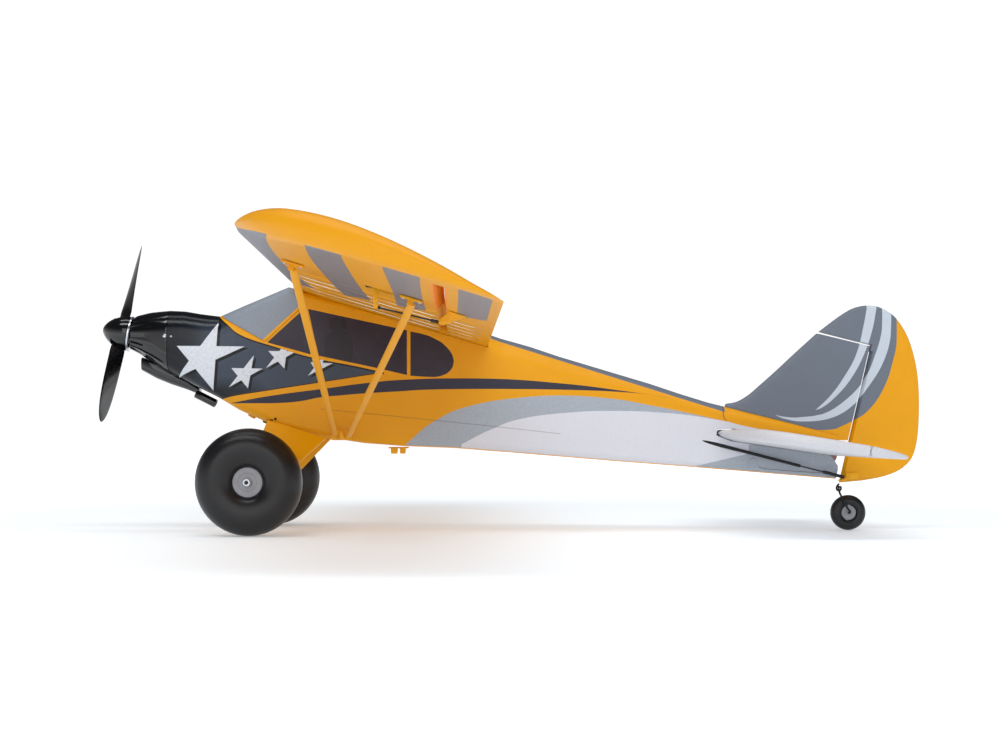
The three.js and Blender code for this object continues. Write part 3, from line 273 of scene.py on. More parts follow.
class Mat:
    def __init__(self, name):
        self.m = bpy.data.materials.new(name)
        self.m.use_nodes = True
        self.t = self.m.node_tree
        self.t.nodes.clear()
        self.out = self.n("ShaderNodeOutputMaterial")
        self.b = self.n("ShaderNodeBsdfPrincipled")
        self.t.links.new(self.b.outputs[0], self.out.inputs[0])
        self.obj = self.n("ShaderNodeTexCoord").outputs["Object"]
        s = self.n("ShaderNodeVectorMath", operation="SCALE")
        self.t.links.new(self.obj, s.inputs[0])
        s.inputs["Scale"].default_value = 1000
        self.p = s.outputs[0]
        q = self.n("ShaderNodeSeparateXYZ")
        self.t.links.new(self.p, q.inputs[0])
        self.x, self.y, self.z = q.outputs
        self.ay = self.math("ABSOLUTE", self.y)
        nn = self.n("ShaderNodeSeparateXYZ")
        self.t.links.new(self.n("ShaderNodeNewGeometry").outputs["Normal"], nn.inputs[0])
        self.nz = nn.outputs[2]
        self.heights = []

    def n(self, kind, **kw):
        node = self.t.nodes.new(kind)
        for k, v in kw.items():
            setattr(node, k, v)
        return node

    def put(self, socket, v):
        if isinstance(v, bpy.types.NodeSocket):
            self.t.links.new(v, socket)
        elif hasattr(v, "__len__") and len(v) == 4 and len(socket.default_value) == 3:
            socket.default_value = v[:3]
        else:
            socket.default_value = v

    def math(self, op, a, b=None, c=None, clamp=False):
        m = self.n("ShaderNodeMath", operation=op, use_clamp=clamp)
        for i, v in enumerate((a, b, c)):
            if v is not None:
                self.put(m.inputs[i], v)
        return m.outputs[0]

    def mul(self, *v):
        r = v[0]
        for w in v[1:]:
            r = self.math("MULTIPLY", r, w)
        return r

    def either(self, *v):
        r = v[0]
        for w in v[1:]:
            r = self.math("MAXIMUM", r, w)
        return r

    def inv(self, a):
        return self.math("SUBTRACT", 1.0, a)

    def above(self, v, edge, w=0.3):
        """1 where v is over edge, soft over w millimetres."""
        d = self.math("SUBTRACT", v, edge)
        return self.math("MULTIPLY_ADD", d, 1.0 / w, 0.5, clamp=True)

    def below(self, v, edge, w=0.3):
        d = self.math("SUBTRACT", edge, v)
        return self.math("MULTIPLY_ADD", d, 1.0 / w, 0.5, clamp=True)

    def between(self, v, a, b, w=0.3):
        return self.mul(self.above(v, a, w), self.below(v, b, w))

    def curve(self, v, pts, smooth=True):
        """y(x) through the points, held flat beyond them."""
        pts = sorted((float(a), float(b)) for a, b in pts)
        x0, x1 = pts[0][0], pts[-1][0]
        y0, y1 = min(b for _, b in pts), max(b for _, b in pts)
        h = max(y1 - y0, 1e-6)
        t = self.math("MULTIPLY_ADD", v, 1 / (x1 - x0), -x0 / (x1 - x0), clamp=True)
        c = self.n("ShaderNodeFloatCurve")
        cv = c.mapping.curves[0]
        cv.points[0].location = (0, (pts[0][1] - y0) / h)
        cv.points[1].location = (1, (pts[-1][1] - y0) / h)
        for a, b in pts[1:-1]:
            cv.points.new((a - x0) / (x1 - x0), (b - y0) / h)
        for p in cv.points:
            p.handle_type = "AUTO_CLAMPED" if smooth else "VECTOR"
        c.mapping.update()
        self.put(c.inputs["Value"], t)
        return self.math("MULTIPLY_ADD", c.outputs[0], h, y0)

    def side(self, a, b, inside, u=None, v=None, w=0.3):
        """1 on the side of line a-b (in X, Z) where the point inside lies."""
        dx, dz = b[0] - a[0], b[1] - a[1]
        L = math.hypot(dx, dz)
        nx, nz = -dz / L, dx / L
        c = -(nx * a[0] + nz * a[1])
        if nx * inside[0] + nz * inside[1] + c < 0:
            nx, nz, c = -nx, -nz, -c
        s = self.math("MULTIPLY_ADD", self.x if u is None else u, nx / w, c / w + 0.5)
        return self.math("MULTIPLY_ADD", self.z if v is None else v, nz / w, s, clamp=True)

    def star(self, tips, dx=0.0, dz=0.0, grow=0.0):
        t = [(a + dx, b + dz) for a, b in tips]
        cx, cz = sum(a for a, _ in t) / 5, sum(b for _, b in t) / 5
        t = [(cx + (a - cx) * (1 + grow), cz + (b - cz) * (1 + grow)) for a, b in t]
        total = None
        for i in range(5):
            s = self.side(t[i], t[(i + 2) % 5], (cx, cz))
            total = s if total is None else self.math("ADD", total, s)
        return self.math("SUBTRACT", total, 3.0, clamp=True)

    def mix(self, f, a, b):
        m = self.n("ShaderNodeMix", data_type="RGBA")
        self.put(m.inputs[0], f)
        self.put(m.inputs[6], a)
        self.put(m.inputs[7], b)
        return m.outputs[2]

    def noise(self, scale, detail=3.0, rough=0.5, stretch=None, seed=0.0):
        v = self.obj
        if stretch or seed:
            mp = self.n("ShaderNodeMapping")
            self.put(mp.inputs["Vector"], v)
            mp.inputs["Scale"].default_value = stretch or (1, 1, 1)
            mp.inputs["Location"].default_value = (seed, seed * 1.7, -seed)
            v = mp.outputs[0]
        t = self.n("ShaderNodeTexNoise")
        self.put(t.inputs["Vector"], v)
        t.inputs["Scale"].default_value = scale
        t.inputs["Detail"].default_value = detail
        t.inputs["Roughness"].default_value = rough
        return t.outputs[0]

    def cells(self, scale, feature="F1", out="Distance"):
        t = self.n("ShaderNodeTexVoronoi", feature=feature)
        self.put(t.inputs["Vector"], self.obj)
        t.inputs["Scale"].default_value = scale
        return t.outputs[out]

    def tinted(self, colour, amount, scale=40.0):
        """The colour, lighter and darker in soft patches."""
        n = self.noise(scale, 4.0)
        k = self.math("MULTIPLY_ADD", n, 2 * amount, 1.0 - amount)
        h = self.n("ShaderNodeVectorMath", operation="SCALE")
        self.put(h.inputs[0], colour)
        self.put(h.inputs["Scale"], k)
        return h.outputs[0]

    def finish(self, colour, rough, metallic=0.0, height=None, distance=0.0002, strength=0.5, coat=0.0, coat_rough=0.1, spec=0.28):
        self.put(self.b.inputs["Base Color"], colour)
        self.put(self.b.inputs["Roughness"], rough)
        self.put(self.b.inputs["Metallic"], metallic)
        self.b.inputs["Specular IOR Level"].default_value = spec
        self.b.inputs["Coat Weight"].default_value = coat
        self.b.inputs["Coat Roughness"].default_value = coat_rough
        if height is not None:
            bmp = self.n("ShaderNodeBump")
            bmp.inputs["Strength"].default_value = strength
            bmp.inputs["Distance"].default_value = distance
            self.put(bmp.inputs["Height"], height)
            self.t.links.new(bmp.outputs[0], self.b.inputs["Normal"])
        return self.m

    def foam_height(self, bead=330.0, amount=1.0, fine=0.35):
        """Faint print of the moulded beads with a fine paint grain."""
        d = self.cells(bead, "DISTANCE_TO_EDGE")
        e = self.math("MULTIPLY_ADD", d, 6.0, 0.0, clamp=True)
        g = self.noise(2600.0, 2.0)
        w = self.noise(60.0, 3.0)
        return self.math("ADD", self.math("MULTIPLY_ADD", g, fine, self.math("MULTIPLY", e, 0.55 * amount)), self.math("MULTIPLY", w, 1.2))

    def foam_rough(self, base, spread=0.12):
        return self.math("MULTIPLY_ADD", self.noise(300.0, 4.0), spread * 2, base - spread)


YELLOW = lin((228, 157, 0))
DEEP = lin((216, 138, 0))
BLACK = lin((7, 8, 10))
# slate grey painted into the nose colour as a painted reflection of the pale floor in the gloss-black paint
NOSE_FLOOR_REFLECTION = lin((68, 79, 96))
WINDOW = lin((44, 37, 47))
STRIPE = lin((50, 50, 64))
GREY = lin((106, 114, 126))
SCREEN = lin((132, 140, 151))
SWOOSH = lin((192, 201, 212))
SILVER_PAINT = lin((138, 138, 146))
PALE = lin((172, 179, 187))
WHITE = lin((214, 214, 220))


def plain_foam(name, colour, rough=0.42, bead=330.0):
    m = Mat(name)
    return m.finish(m.tinted(colour, 0.05), m.foam_rough(rough), height=m.foam_height(bead), distance=0.00010, strength=0.35)


def make_livery():
    """Cabin and tail boom: yellow foam, black nose, stars, windows, stripes and the silver-white sweep behind."""
    m = Mat("livery_body")
    x, z = m.x, m.z
    BOT = [(-420, 201), (-414, 198.6), (-405, 194), (-378, 175.4), (-351, 162), (-320, 146.7), (-296, 132.5), (-269, 120.4), (-249, 110.6), (-201, 101.3), (-181, 99.6), (-160, 96.3), (-116, 93), (-61, 90.9), (-12, 87), (54, 81.5), (120, 76), (186, 71), (251, 65.7), (317, 60.2), (361.5, 56.6)]
    yellow = m.tinted(YELLOW, 0.04)
    col = m.mix(m.math("MULTIPLY", m.noise(9.0), 0.35), yellow, DEEP)
    # silver-white sweep of the rear body, upper edge pale grey, inner edge white
    grey_z = m.curve(x, [(-113.1, 96.4), (-80.8, 121.4), (-45.8, 136.3), (4.1, 145.1), (54.3, 148.1), (104.7, 145.3), (155.3, 137.1), (231.6, 121.0), (255, 115.5), (361, 95)])
    white_z = m.curve(x, [(-53.3, 95.3), (-20.9, 111.4), (16.7, 123.9), (54.3, 128.8), (104.7, 131.4), (155.3, 130.3), (231.6, 121.0), (255, 115.5), (361, 95)])
    speck = m.math("MULTIPLY_ADD", m.noise(900.0, 2.0), 0.5, -0.25)
    pale = m.mix(m.math("ADD", m.noise(420.0, 2.0), speck, clamp=True), PALE, lin((150, 157, 168)))
    white = m.mix(m.math("ADD", m.noise(380.0, 2.0), speck, clamp=True), WHITE, lin((205, 205, 214)))
    belly = m.curve(x, BOT, smooth=False)
    over_belly = m.above(z, m.math("ADD", belly, 1.1))
    g = m.mul(m.below(z, grey_z), m.above(x, -113.5), over_belly)
    w = m.mul(m.below(z, white_z), m.above(x, -54), over_belly)
    col = m.mix(g, col, pale)
    col = m.mix(w, col, white)
    rear = m.side((203.4, 71.1), (274.5, 87.5), (300, 70))
    rear = m.mul(m.either(rear, m.above(x, 262)), m.below(z, 94.5), m.above(x, 203), over_belly)
    col = m.mix(rear, col, pale)
    # grey spine strip
    strip_z = m.curve(x, [(-26, 211.5), (-13.4, 207.5), (54.3, 186.5), (231.6, 131.6), (237, 130)])
    strip = m.mul(m.above(z, strip_z), m.between(x, -22.0, 236))
    col = m.mix(strip, col, m.tinted(GREY, 0.03))
    # dark pinstripe that tapers at both ends
    up = m.curve(x, [(-305.4, 139.5), (-260.4, 147.7), (-204.0, 155.2), (-151.1, 162.1), (-120.6, 164.8), (-58.7, 166.6), (-20.7, 166.3), (54.3, 161.4), (117.2, 154.1), (178.3, 145.2)])
    lo = m.curve(x, [(-305.4, 139.5), (-270.2, 139.5), (-202.1, 146.5), (-157.4, 150.3), (-120.6, 152.5), (-83.7, 154.5), (-20.7, 155.1), (54.3, 154.5), (117.2, 152.3), (178.3, 145.2)])
    stripe = m.mul(m.between(z, lo, up), m.between(x, -305, 178))
    col = m.mix(stripe, col, STRIPE)
    # black nose zone under the windscreen line
    line = m.curve(x, [(-322, 239.5), (-315.8, 233.7), (-306.5, 225.5), (-297.8, 217.8), (-283, 210.8), (-265.9, 205.4), (-213.5, 190.2), (-163.9, 180.4), (-113.0, 168.0), (-90, 162)])
    low = m.curve(x, [(-315.8, 144.5), (-301.6, 148.1), (-268.4, 153.5), (-206.3, 163.1), (-138.7, 173.7)])
    low_on = m.either(m.above(z, low), m.below(x, -315.6))
    nose = m.mul(low_on, m.either(m.below(z, line), m.below(x, -318.6)), m.below(x, -138.7))
    rim = m.mul(m.between(z, m.math("SUBTRACT", low, 1.0), low), m.between(x, -315.6, -138.7))
    trim = m.mul(m.between(z, m.math("SUBTRACT", line, 1.7), m.math("ADD", line, 1.7)), m.between(x, -319.5, -128))
    under = m.mul(m.between(z, m.math("SUBTRACT", line, 3.4), line), m.between(x, -319.5, -138))
    # painted reflection: the black nose paint is lifted to slate grey where the gloss would mirror the pale floor,
    # fading to near-black towards the front and towards the top and bottom of the zone
    fore = m.curve(x, [(-381, 1.0), (-352, 0.9), (-300, 0.25), (-200, 0.35), (-138, 0.2)])
    crown = m.math("MULTIPLY_ADD", z, 1 / 26.0, -206 / 26.0, clamp=True)
    foot = m.math("MULTIPLY_ADD", z, -1 / 22.0, 176 / 22.0, clamp=True)
    crown = m.math("MULTIPLY", m.math("MAXIMUM", crown, foot), m.curve(x, [(-330, 1.0), (-290, 0.8), (-250, 0.0)]))
    nose_paint_and_reflection = m.mix(m.math("MAXIMUM", m.math("MULTIPLY", m.noise(26.0, 3.0), 0.5), m.math("MAXIMUM", fore, crown)), NOSE_FLOOR_REFLECTION, lin((13, 15, 19)))
    col = m.mix(nose, col, nose_paint_and_reflection)
    col = m.mix(m.either(rim, under), col, BLACK)
    # stars with a black offset shadow
    stars = [
        [(-317.9, 227.2), (-289.0, 201.1), (-323.2, 153.3), (-363.5, 167.4), (-363.1, 201.9)],
        [(-279.1, 191.5), (-269.4, 177.1), (-285.4, 155.6), (-306.1, 157.0), (-303.4, 177.7)],
        [(-241.6, 208.7), (-233.0, 195.7), (-245.9, 177.1), (-265.9, 177.7), (-263.4, 196.3)],
        [(-201.3, 193.9), (-193.4, 182.9), (-208.6, 170.1), (-220.3, 169.4), (-217.6, 183.9)],
    ]
    under_line = m.below(z, m.math("SUBTRACT", line, 1.7))
    sh = m.either(*[m.star(s, 2.6, -2.2, 0.05) for s in stars])
    st = m.either(*[m.star(s) for s in stars])
    sh = m.mul(sh, under_line)
    st = m.mul(st, under_line)
    col = m.mix(sh, col, BLACK)
    silver = m.mix(m.noise(18.0, 2.0), lin((208, 213, 222)), lin((200, 204, 212)))
    col = m.mix(st, col, silver)
    col = m.mix(trim, col, YELLOW)
    # windows
    wu = m.curve(x, [(-264.6, 205.4), (-227.2, 240.6), (-220.2, 241.8), (-113.7, 218.8), (-109.7, 217.6), (-98, 215.2), (-88.9, 212.6), (-76.4, 206.3), (-70, 200.6), (-66.4, 196.5), (-63.2, 191), (-62.1, 185.2)], smooth=False)
    wl = m.curve(x, [(-264.6, 205.4), (-214.1, 191.5), (-207.1, 190.7), (-151.1, 178.9), (-113.1, 170.2), (-109.4, 169.4), (-95.1, 168.3), (-83, 168.0), (-76.4, 169.0), (-70, 171.6), (-66.4, 174.6), (-63.2, 179.2), (-62.1, 185.2)], smooth=False)
    win = m.mul(m.between(z, wl, wu), m.between(x, -264.6, -62.1))
    bar = m.mul(m.side((-227.2, 240.6), (-214.1, 191.5), (-200, 215)), m.side((-220.2, 241.8), (-208.9, 190.7), (-250, 205)))
    post = m.between(x, -113.0, -109.3)
    screen_bar = m.mul(m.side((-269.2, 208.6), (-229.2, 245.4), (-240, 200)), m.inv(m.side((-265.4, 205.0), (-225.2, 241.4), (-240, 200))))
    win = m.mul(win, m.inv(bar), m.inv(post), m.inv(screen_bar))
    # seat back seen through the side window
    def blob(cx, cz, a, b, p=3.0):
        u = m.math("POWER", m.math("ABSOLUTE", m.math("MULTIPLY_ADD", x, 1 / a, -cx / a)), p)
        v = m.math("POWER", m.math("ABSOLUTE", m.math("MULTIPLY_ADD", z, 1 / b, -cz / b)), p)
        return m.below(m.math("ADD", u, v), 1.0, 0.06)
    seat = m.either(blob(-187, 198, 15.5, 20), blob(-188, 225, 9.5, 8, 2.4))
    glass = m.mix(m.noise(70.0, 3.0), WINDOW, lin((52, 45, 56)))
    glass = m.mix(m.math("MULTIPLY", seat, 0.75), glass, lin((36, 34, 40)))
    col = m.mix(win, col, glass)
    # moulding lines, and small holes painted near-black as painted shade
    seam_z = m.curve(x, [(-207.3, 133.3), (-172.6, 130.0), (-82.6, 121.0), (-13.4, 113.8), (54.3, 106.4)])
    seam = m.mul(m.between(z, m.math("SUBTRACT", seam_z, 0.3), m.math("ADD", seam_z, 0.3), 0.5), m.between(x, -207, 54))
    tail_seam = m.mul(m.between(x, m.curve(z, [(115, 254), (121, 236.5), (128, 233.4), (141, 234.6)]), m.math("ADD", m.curve(z, [(115, 254), (121, 236.5), (128, 233.4), (141, 234.6)]), 0.9)), m.above(z, 121))
    cover_z = m.curve(x, [(259.6, 62.5), (261.2, 73), (263.4, 78.2), (266.6, 80), (269.8, 78.4), (272.0, 72.5), (276, 69), (296.5, 66.6), (359.3, 62.3)])
    cover = m.mul(m.between(z, m.math("SUBTRACT", cover_z, 0.35), m.math("ADD", cover_z, 0.35), 0.5), m.between(x, 259.6, 358))
    lines = m.either(m.math("MULTIPLY", seam, 0.55), tail_seam, m.math("MULTIPLY", cover, 0.8))
    col = m.mix(lines, col, lin((92, 78, 62)))
    def dot(cx, cz, r):
        u = m.math("MULTIPLY_ADD", x, 1.0, -cx)
        v = m.math("MULTIPLY_ADD", z, 1.0, -cz)
        return m.below(m.math("ADD", m.mul(u, u), m.mul(v, v)), r * r, 0.8)
    # painted shade: the hole is a near-black dot standing for the shade inside it
    hole_shade = m.mul(dot(-255.6, 122.5, 1.5), m.inv(nose))
    col = m.mix(hole_shade, col, lin((20, 16, 12)))
    # finish: clear gloss on the nose and windows, satin elsewhere, metal flake in the silver
    glossy = m.either(nose, win)
    rough = m.math("MULTIPLY_ADD", glossy, -0.26, m.foam_rough(0.44))
    rough = m.math("MULTIPLY_ADD", st, 0.10, rough, clamp=True)
    skin = m.foam_height(300.0)
    wrinkle = m.math("MULTIPLY", m.mul(m.noise(130.0, 4.0), m.mul(m.between(x, -300, -190, 20.0), m.mul(nose, m.inv(st)))), 5.5)
    h = m.math("MULTIPLY", m.math("ADD", m.math("MULTIPLY_ADD", glossy, -0.35, skin), wrinkle), m.math("MULTIPLY_ADD", st, -0.85, 1.0))
    h = m.math("SUBTRACT", h, m.math("MULTIPLY", m.either(lines, hole_shade), 6.0))
    return m.finish(col, rough, metallic=m.math("MULTIPLY", m.math("MAXIMUM", st, m.math("MULTIPLY", m.either(g, w), 0.5)), 0.12), height=h, distance=0.00012, strength=0.4)


def make_wing():
    """Yellow above and along the edges; below, silver bands that run along the span and stop on a diagonal inboard."""
    m = Mat("livery_wing")
    x, ay = m.x, m.ay
    yellow = m.tinted(YELLOW, 0.04)
    col = m.mix(m.math("MULTIPLY", m.noise(7.0), 0.4), yellow, DEEP)
    under = m.below(m.nz, -0.25, 0.3)
    def edge(pts):
        return m.curve(ay, pts)
    s1 = m.below(x, edge([(130, -203), (170, -204.8), (319, -213.1), (427, -212.1), (536, -208.1), (600, -202), (650, -196)]))
    s2 = m.mul(m.above(x, edge([(200, -170.1), (319, -174.6), (468, -176.2), (588, -173.4), (650, -169.5)])), m.below(x, edge([(200, -142.6), (252, -143.0), (446, -146.0), (598, -145.4), (650, -142.2)])))
    s3 = m.mul(m.above(x, edge([(200, -116.2), (274, -115.7), (478, -114.2), (617, -114.5), (650, -112)])), m.below(x, edge([(250, -86.8), (313, -87.2), (438, -88.3), (614, -87.2), (650, -85.7)])))
    s4 = m.mul(m.above(x, edge([(300, -59.4), (401, -59.2), (579, -58.8), (650, -59.1)])), m.below(x, -33.8))
    diagonal = m.curve(x, [(-238, 122), (-217, 138), (-175, 189), (-144, 229), (-115, 266), (-70, 349), (-31.5, 413)])
    tip = m.curve(x, [(-238, 505), (-236.5, 521), (-231.6, 538), (-222.7, 562), (-206, 588), (-185, 606), (-155, 623), (-120, 633), (-79, 637), (-60, 636), (-40, 631), (-26, 612)])
    on = m.mul(m.either(s1, s2, s3, s4), m.above(ay, diagonal), m.below(ay, tip), under)
    flake = m.noise(1500.0, 2.0)
    silver = m.mix(flake, SILVER_PAINT, lin((120, 120, 128)))
    col = m.mix(on, col, silver)
    # moulded ribs under the inner wing: painted highlights along the ribs and painted shade in the valleys between them
    rib = m.math("PINGPONG", m.math("ADD", ay, 4.0), 24.0)
    rib_highlight = m.mul(m.below(rib, 2.2, 1.2), m.between(ay, 62, 330, 3), under, m.inv(on), m.between(x, -214, -36, 2))
    rib_valley_shade = m.mul(m.between(rib, 2.6, 6.0, 2.0), m.between(ay, 62, 330, 3), under, m.inv(on), m.between(x, -214, -36, 2))
    patch = m.noise(24.0, 2.0, stretch=(1.0, 2.6, 1.0))
    col = m.mix(m.mul(rib_highlight, m.math("MULTIPLY_ADD", patch, 3.2, -1.0, clamp=True)), col, lin((250, 238, 220)))
    col = m.mix(m.math("MULTIPLY", rib_valley_shade, 0.75), col, lin((96, 50, 8)))
    # light glows through the thin skin over the hinge
    hinge = m.math("SUBTRACT", m.math("ABSOLUTE", m.math("ADD", x, 73.5)), 0.0)
    glow = m.mul(m.below(hinge, 6.4, 0.6), m.between(ay, 348, 616), under)
    col = m.mix(m.mul(glow, 0.75), col, lin((250, 132, 18)))
    return m.finish(col, m.foam_rough(0.40), metallic=m.math("MULTIPLY", on, 0.35), height=m.foam_height(300.0), distance=0.00012, strength=0.4)


def make_tail():
    """Fin and rudder: grey with two pale curved sweeps, yellow trailing part and root."""
    m = Mat("livery_tail")
    x, z = m.x, m.z
    col = m.tinted(GREY, 0.03)
    def edge(pts):
        return m.curve(z, pts)
    aL = edge([(124.3, 315.3), (127.8, 343.4), (142, 368), (166.6, 390.9), (194.8, 403.3), (221.1, 410.3), (244.6, 410.8)])
    aR = edge([(120.0, 324.0), (122.7, 350.5), (136.7, 376.9), (159.5, 396.2), (186.0, 412.1), (212.4, 419.9), (238.8, 420.8), (247, 421)])
    a_main = m.mul(m.above(x, aL), m.below(x, aR), m.above(z, 124.3))
    a_up = m.curve(x, [(293.2, 127.2), (304.7, 125.0), (315.3, 124.3), (343.4, 127.8)])
    a_lo = m.curve(x, [(293.2, 126.8), (304.7, 122.7), (324.0, 120.0), (350.5, 122.7), (362, 128)])
    a_tip = m.mul(m.between(z, a_lo, a_up), m.between(x, 293.2, 343.4))
    a_mid = m.mul(m.above(z, a_lo), m.below(z, 124.4), m.above(x, 324), m.below(x, aR))
    bL = edge([(132.8, 337.2), (149.0, 353.9), (168.4, 368.0), (194.8, 382.2), (230.0, 390.9), (248.1, 394.1)])
    bR = edge([(132.8, 337.6), (134.9, 343.4), (147.3, 359.2), (168.4, 376.9), (194.8, 390.9), (221.1, 399.7), (247.6, 404.7)])
    b_main = m.mul(m.above(x, bL), m.below(x, bR), m.above(z, 132.8))
    sweep = m.either(a_main, a_tip, a_mid, b_main)
    col = m.mix(sweep, col, m.tinted(SWOOSH, 0.02))
    ry = edge([(100, 340), (112, 360), (120.9, 378.6), (131.4, 394.4), (156, 412.1), (186.0, 422.6), (212.4, 427.0), (232.6, 427.0), (248, 425)])
    base = m.curve(x, [(236.0, 132.3), (280, 121.5), (315.3, 113.8), (343.4, 110.6), (375.1, 119.1), (380, 121.5)])
    yel = m.either(m.mul(m.above(x, ry), m.above(z, 100)), m.below(z, base), m.below(z, 104))
    col = m.mix(yel, col, m.tinted(YELLOW, 0.04))
    return m.finish(col, m.foam_rough(0.42), height=m.foam_height(320.0), distance=0.00012, strength=0.4)


def make_screen():
    m = Mat("windscreen_grey")
    bar = m.mul(m.side((-269.4, 208.6), (-229.4, 245.2), (-240, 200)), m.above(m.ay, 20))
    lower = m.mul(m.below(m.z, m.math("ADD", m.curve(m.x, [(-319, 235.5), (-315.8, 233.7), (-306.5, 225.5), (-297.8, 217.8), (-283, 210.8), (-267, 205.8)]), 1.8)), m.below(m.x, -262))
    col = m.mix(m.either(bar, lower), m.tinted(SCREEN, 0.04), YELLOW)
    return m.finish(col, m.foam_rough(0.30), height=m.math("ADD", m.foam_height(260.0), m.noise(900.0, 2.0)), distance=0.00010, strength=0.35)


def make_gloss():
    m = Mat("gloss_black")
    n = m.noise(25.0, 3.0)
    col = m.mix(n, lin((6, 7, 9)), lin((12, 13, 16)))
    dust = m.noise(1200.0, 2.0)
    return m.finish(col, m.math("MULTIPLY_ADD", dust, 0.10, 0.08), spec=0.5, height=m.math("ADD", m.math("MULTIPLY", m.noise(35.0, 2.0), 1.5), m.math("MULTIPLY", dust, 0.05)), distance=0.00016, strength=0.25, coat=0.35, coat_rough=0.05)


def make_prop():
    m = Mat("gloss_black_prop")
    n = m.noise(18.0, 3.0)
    col = m.mix(n, lin((9, 9, 11)), lin((17, 17, 19)))
    scr = m.noise(140.0, 3.0, stretch=(1.0, 1.0, 0.12))
    return m.finish(col, m.math("MULTIPLY_ADD", scr, 0.16, 0.12), spec=0.5, height=scr, distance=0.00008, strength=0.25, coat=0.2, coat_rough=0.08)


def make_rubber():
    m = Mat("foam_rubber")
    col = m.mix(m.noise(30.0, 4.0), lin((13, 13, 16)), lin((20, 20, 23)))
    dust = m.noise(500.0, 3.0)
    pores = m.cells(1400.0)
    col = m.mix(m.math("MULTIPLY", m.math("MULTIPLY_ADD", dust, 2.5, -1.2, clamp=True), 0.12), col, lin((60, 60, 63)))
    return m.finish(col, m.math("MULTIPLY_ADD", dust, 0.12, 0.27), height=m.math("ADD", pores, m.math("MULTIPLY", m.noise(90.0), 1.0)), distance=0.00010, strength=0.30, spec=0.45)


def make_hub():
    m = Mat("hub_grey")
    col = m.tinted(lin((150, 151, 156)), 0.06, 60.0)
    return m.finish(col, m.math("MULTIPLY_ADD", m.noise(700.0, 2.0), 0.2, 0.32), metallic=0.15, height=m.noise(900.0, 2.0), distance=0.00008, strength=0.4)


def make_metal(name, colour, rough=0.22, metallic=1.0, scratch=(1.0, 1.0, 1.0)):
    m = Mat(name)
    n = m.noise(900.0, 3.0, stretch=scratch)
    col = m.mix(m.noise(120.0, 3.0), colour, tuple(c * 0.8 for c in colour[:3]) + (1.0,))
    return m.finish(col, m.math("MULTIPLY_ADD", n, 0.18, rough - 0.05), metallic=metallic, height=n, distance=0.00003, strength=0.3)


def make_plastic(name, colour, rough=0.45):
    m = Mat(name)
    col = m.tinted(colour, 0.10, 90.0)
    return m.finish(col, m.math("MULTIPLY_ADD", m.noise(800.0, 2.0), 0.2, rough - 0.1), height=m.noise(2200.0, 2.0), distance=0.00004, strength=0.4)


def make_white():
    """Tailplane: white foam with a silvery flake, and soft warm patches painted in as bounce light from the yellow
    parts.
    """
    m = Mat("white_foam")
    col = m.mix(m.noise(420.0, 2.0), lin((212, 212, 217)), lin((196, 197, 204)))
    # painted warm bounce light, mixed in soft noise patches
    col = m.mix(m.math("MULTIPLY", m.noise(10.0), 0.2), col, lin((214, 206, 206)))
    return m.finish(col, m.foam_rough(0.42), height=m.foam_height(300.0), distance=0.00012, strength=0.4)


M = {
    "body": make_livery(), "wing": make_wing(), "tail": make_tail(), "screen": make_screen(), "gloss": make_gloss(), "prop": make_prop(),
    "rubber": make_rubber(), "hub": make_hub(), "white": make_white(),
    "yellow": plain_foam("foam_yellow", YELLOW, 0.40), "yplastic": plain_foam("yellow_plastic", lin((238, 168, 20)), 0.34, 900.0),
    "silver": make_metal("bright_metal", lin((212, 214, 220)), 0.20), "steel": make_metal("dark_spring_steel", lin((58, 58, 60)), 0.32, 0.8),
    "black": make_plastic("black_plastic", lin((24, 25, 27))), "brown": make_plastic("fibre_brown", lin((150, 112, 102)), 0.5),
    "pack": make_plastic("battery_wrap", lin((30, 36, 46)), 0.35),
}


# ==================================================================== wing
LE, TE = np.array((-238.0, 0, 263.5)), np.array((-26.0, 0, 200.7))
CHORD = float(np.linalg.norm(TE - LE))
EU = (TE - LE) / CHORD
EN = np.array((-EU[2], 0, EU[0]))
UPPER = [[0, 3.5], [1.25, 5.45], [2.5, 6.5], [5, 7.9], [10, 9.6], [20, 11.36], [30, 11.7], [40, 11.4], [50, 10.52], [60, 9.15], [70, 7.35], [80, 5.22], [90, 2.9], [100, 1.25]]
LOWER = [[0, 3.5], [1.25, 1.93], [2.5, 1.47], [5, 0.93], [10, 0.42], [20, 0.03], [30, 0], [100, 0]]
HINGE_U = (-73.5 + 238) / 212


def section(table):
    c = catmull([(math.sqrt(u / 100), h / 100) for u, h in table], 12)
    return lambda u: np.interp(np.sqrt(np.clip(u, 0, 1)), c[:, 0], c[:, 1]) * CHORD


upper, lower = section(UPPER), section(LOWER)


def on_chord(u, h, y=0.0):
    return LE + EU * u * CHORD + EN * h + np.array((0, y, 0))


def tip_at(u):
    u = np.asarray(u, float)
    a = 518 + 132 * np.sqrt(np.clip(1 - ((0.75 - u) / 0.75) ** 2, 0, None))
    t = np.clip((u - 0.75) / 0.25, 0, 1)
    return np.where(u < 0.75, a, 650 - 28 * (0.35 * t * t + 0.65 * t ** 8))


TIP_U = np.linspace(0, 1, 241) ** 1.6
TIP_CURVE = np.c_[TIP_U * CHORD, tip_at(TIP_U)]


def to_tip(s, y):
    a, b = TIP_CURVE[:-1], TIP_CURVE[1:]
    d = b - a
    p = np.c_[s, y][:, None, :]
    t = np.clip(((p - a) * d).sum(2) / (d * d).sum(1), 0, 1)
    return np.hypot(*(p - a - t[..., None] * d).transpose(2, 0, 1)).min(1)


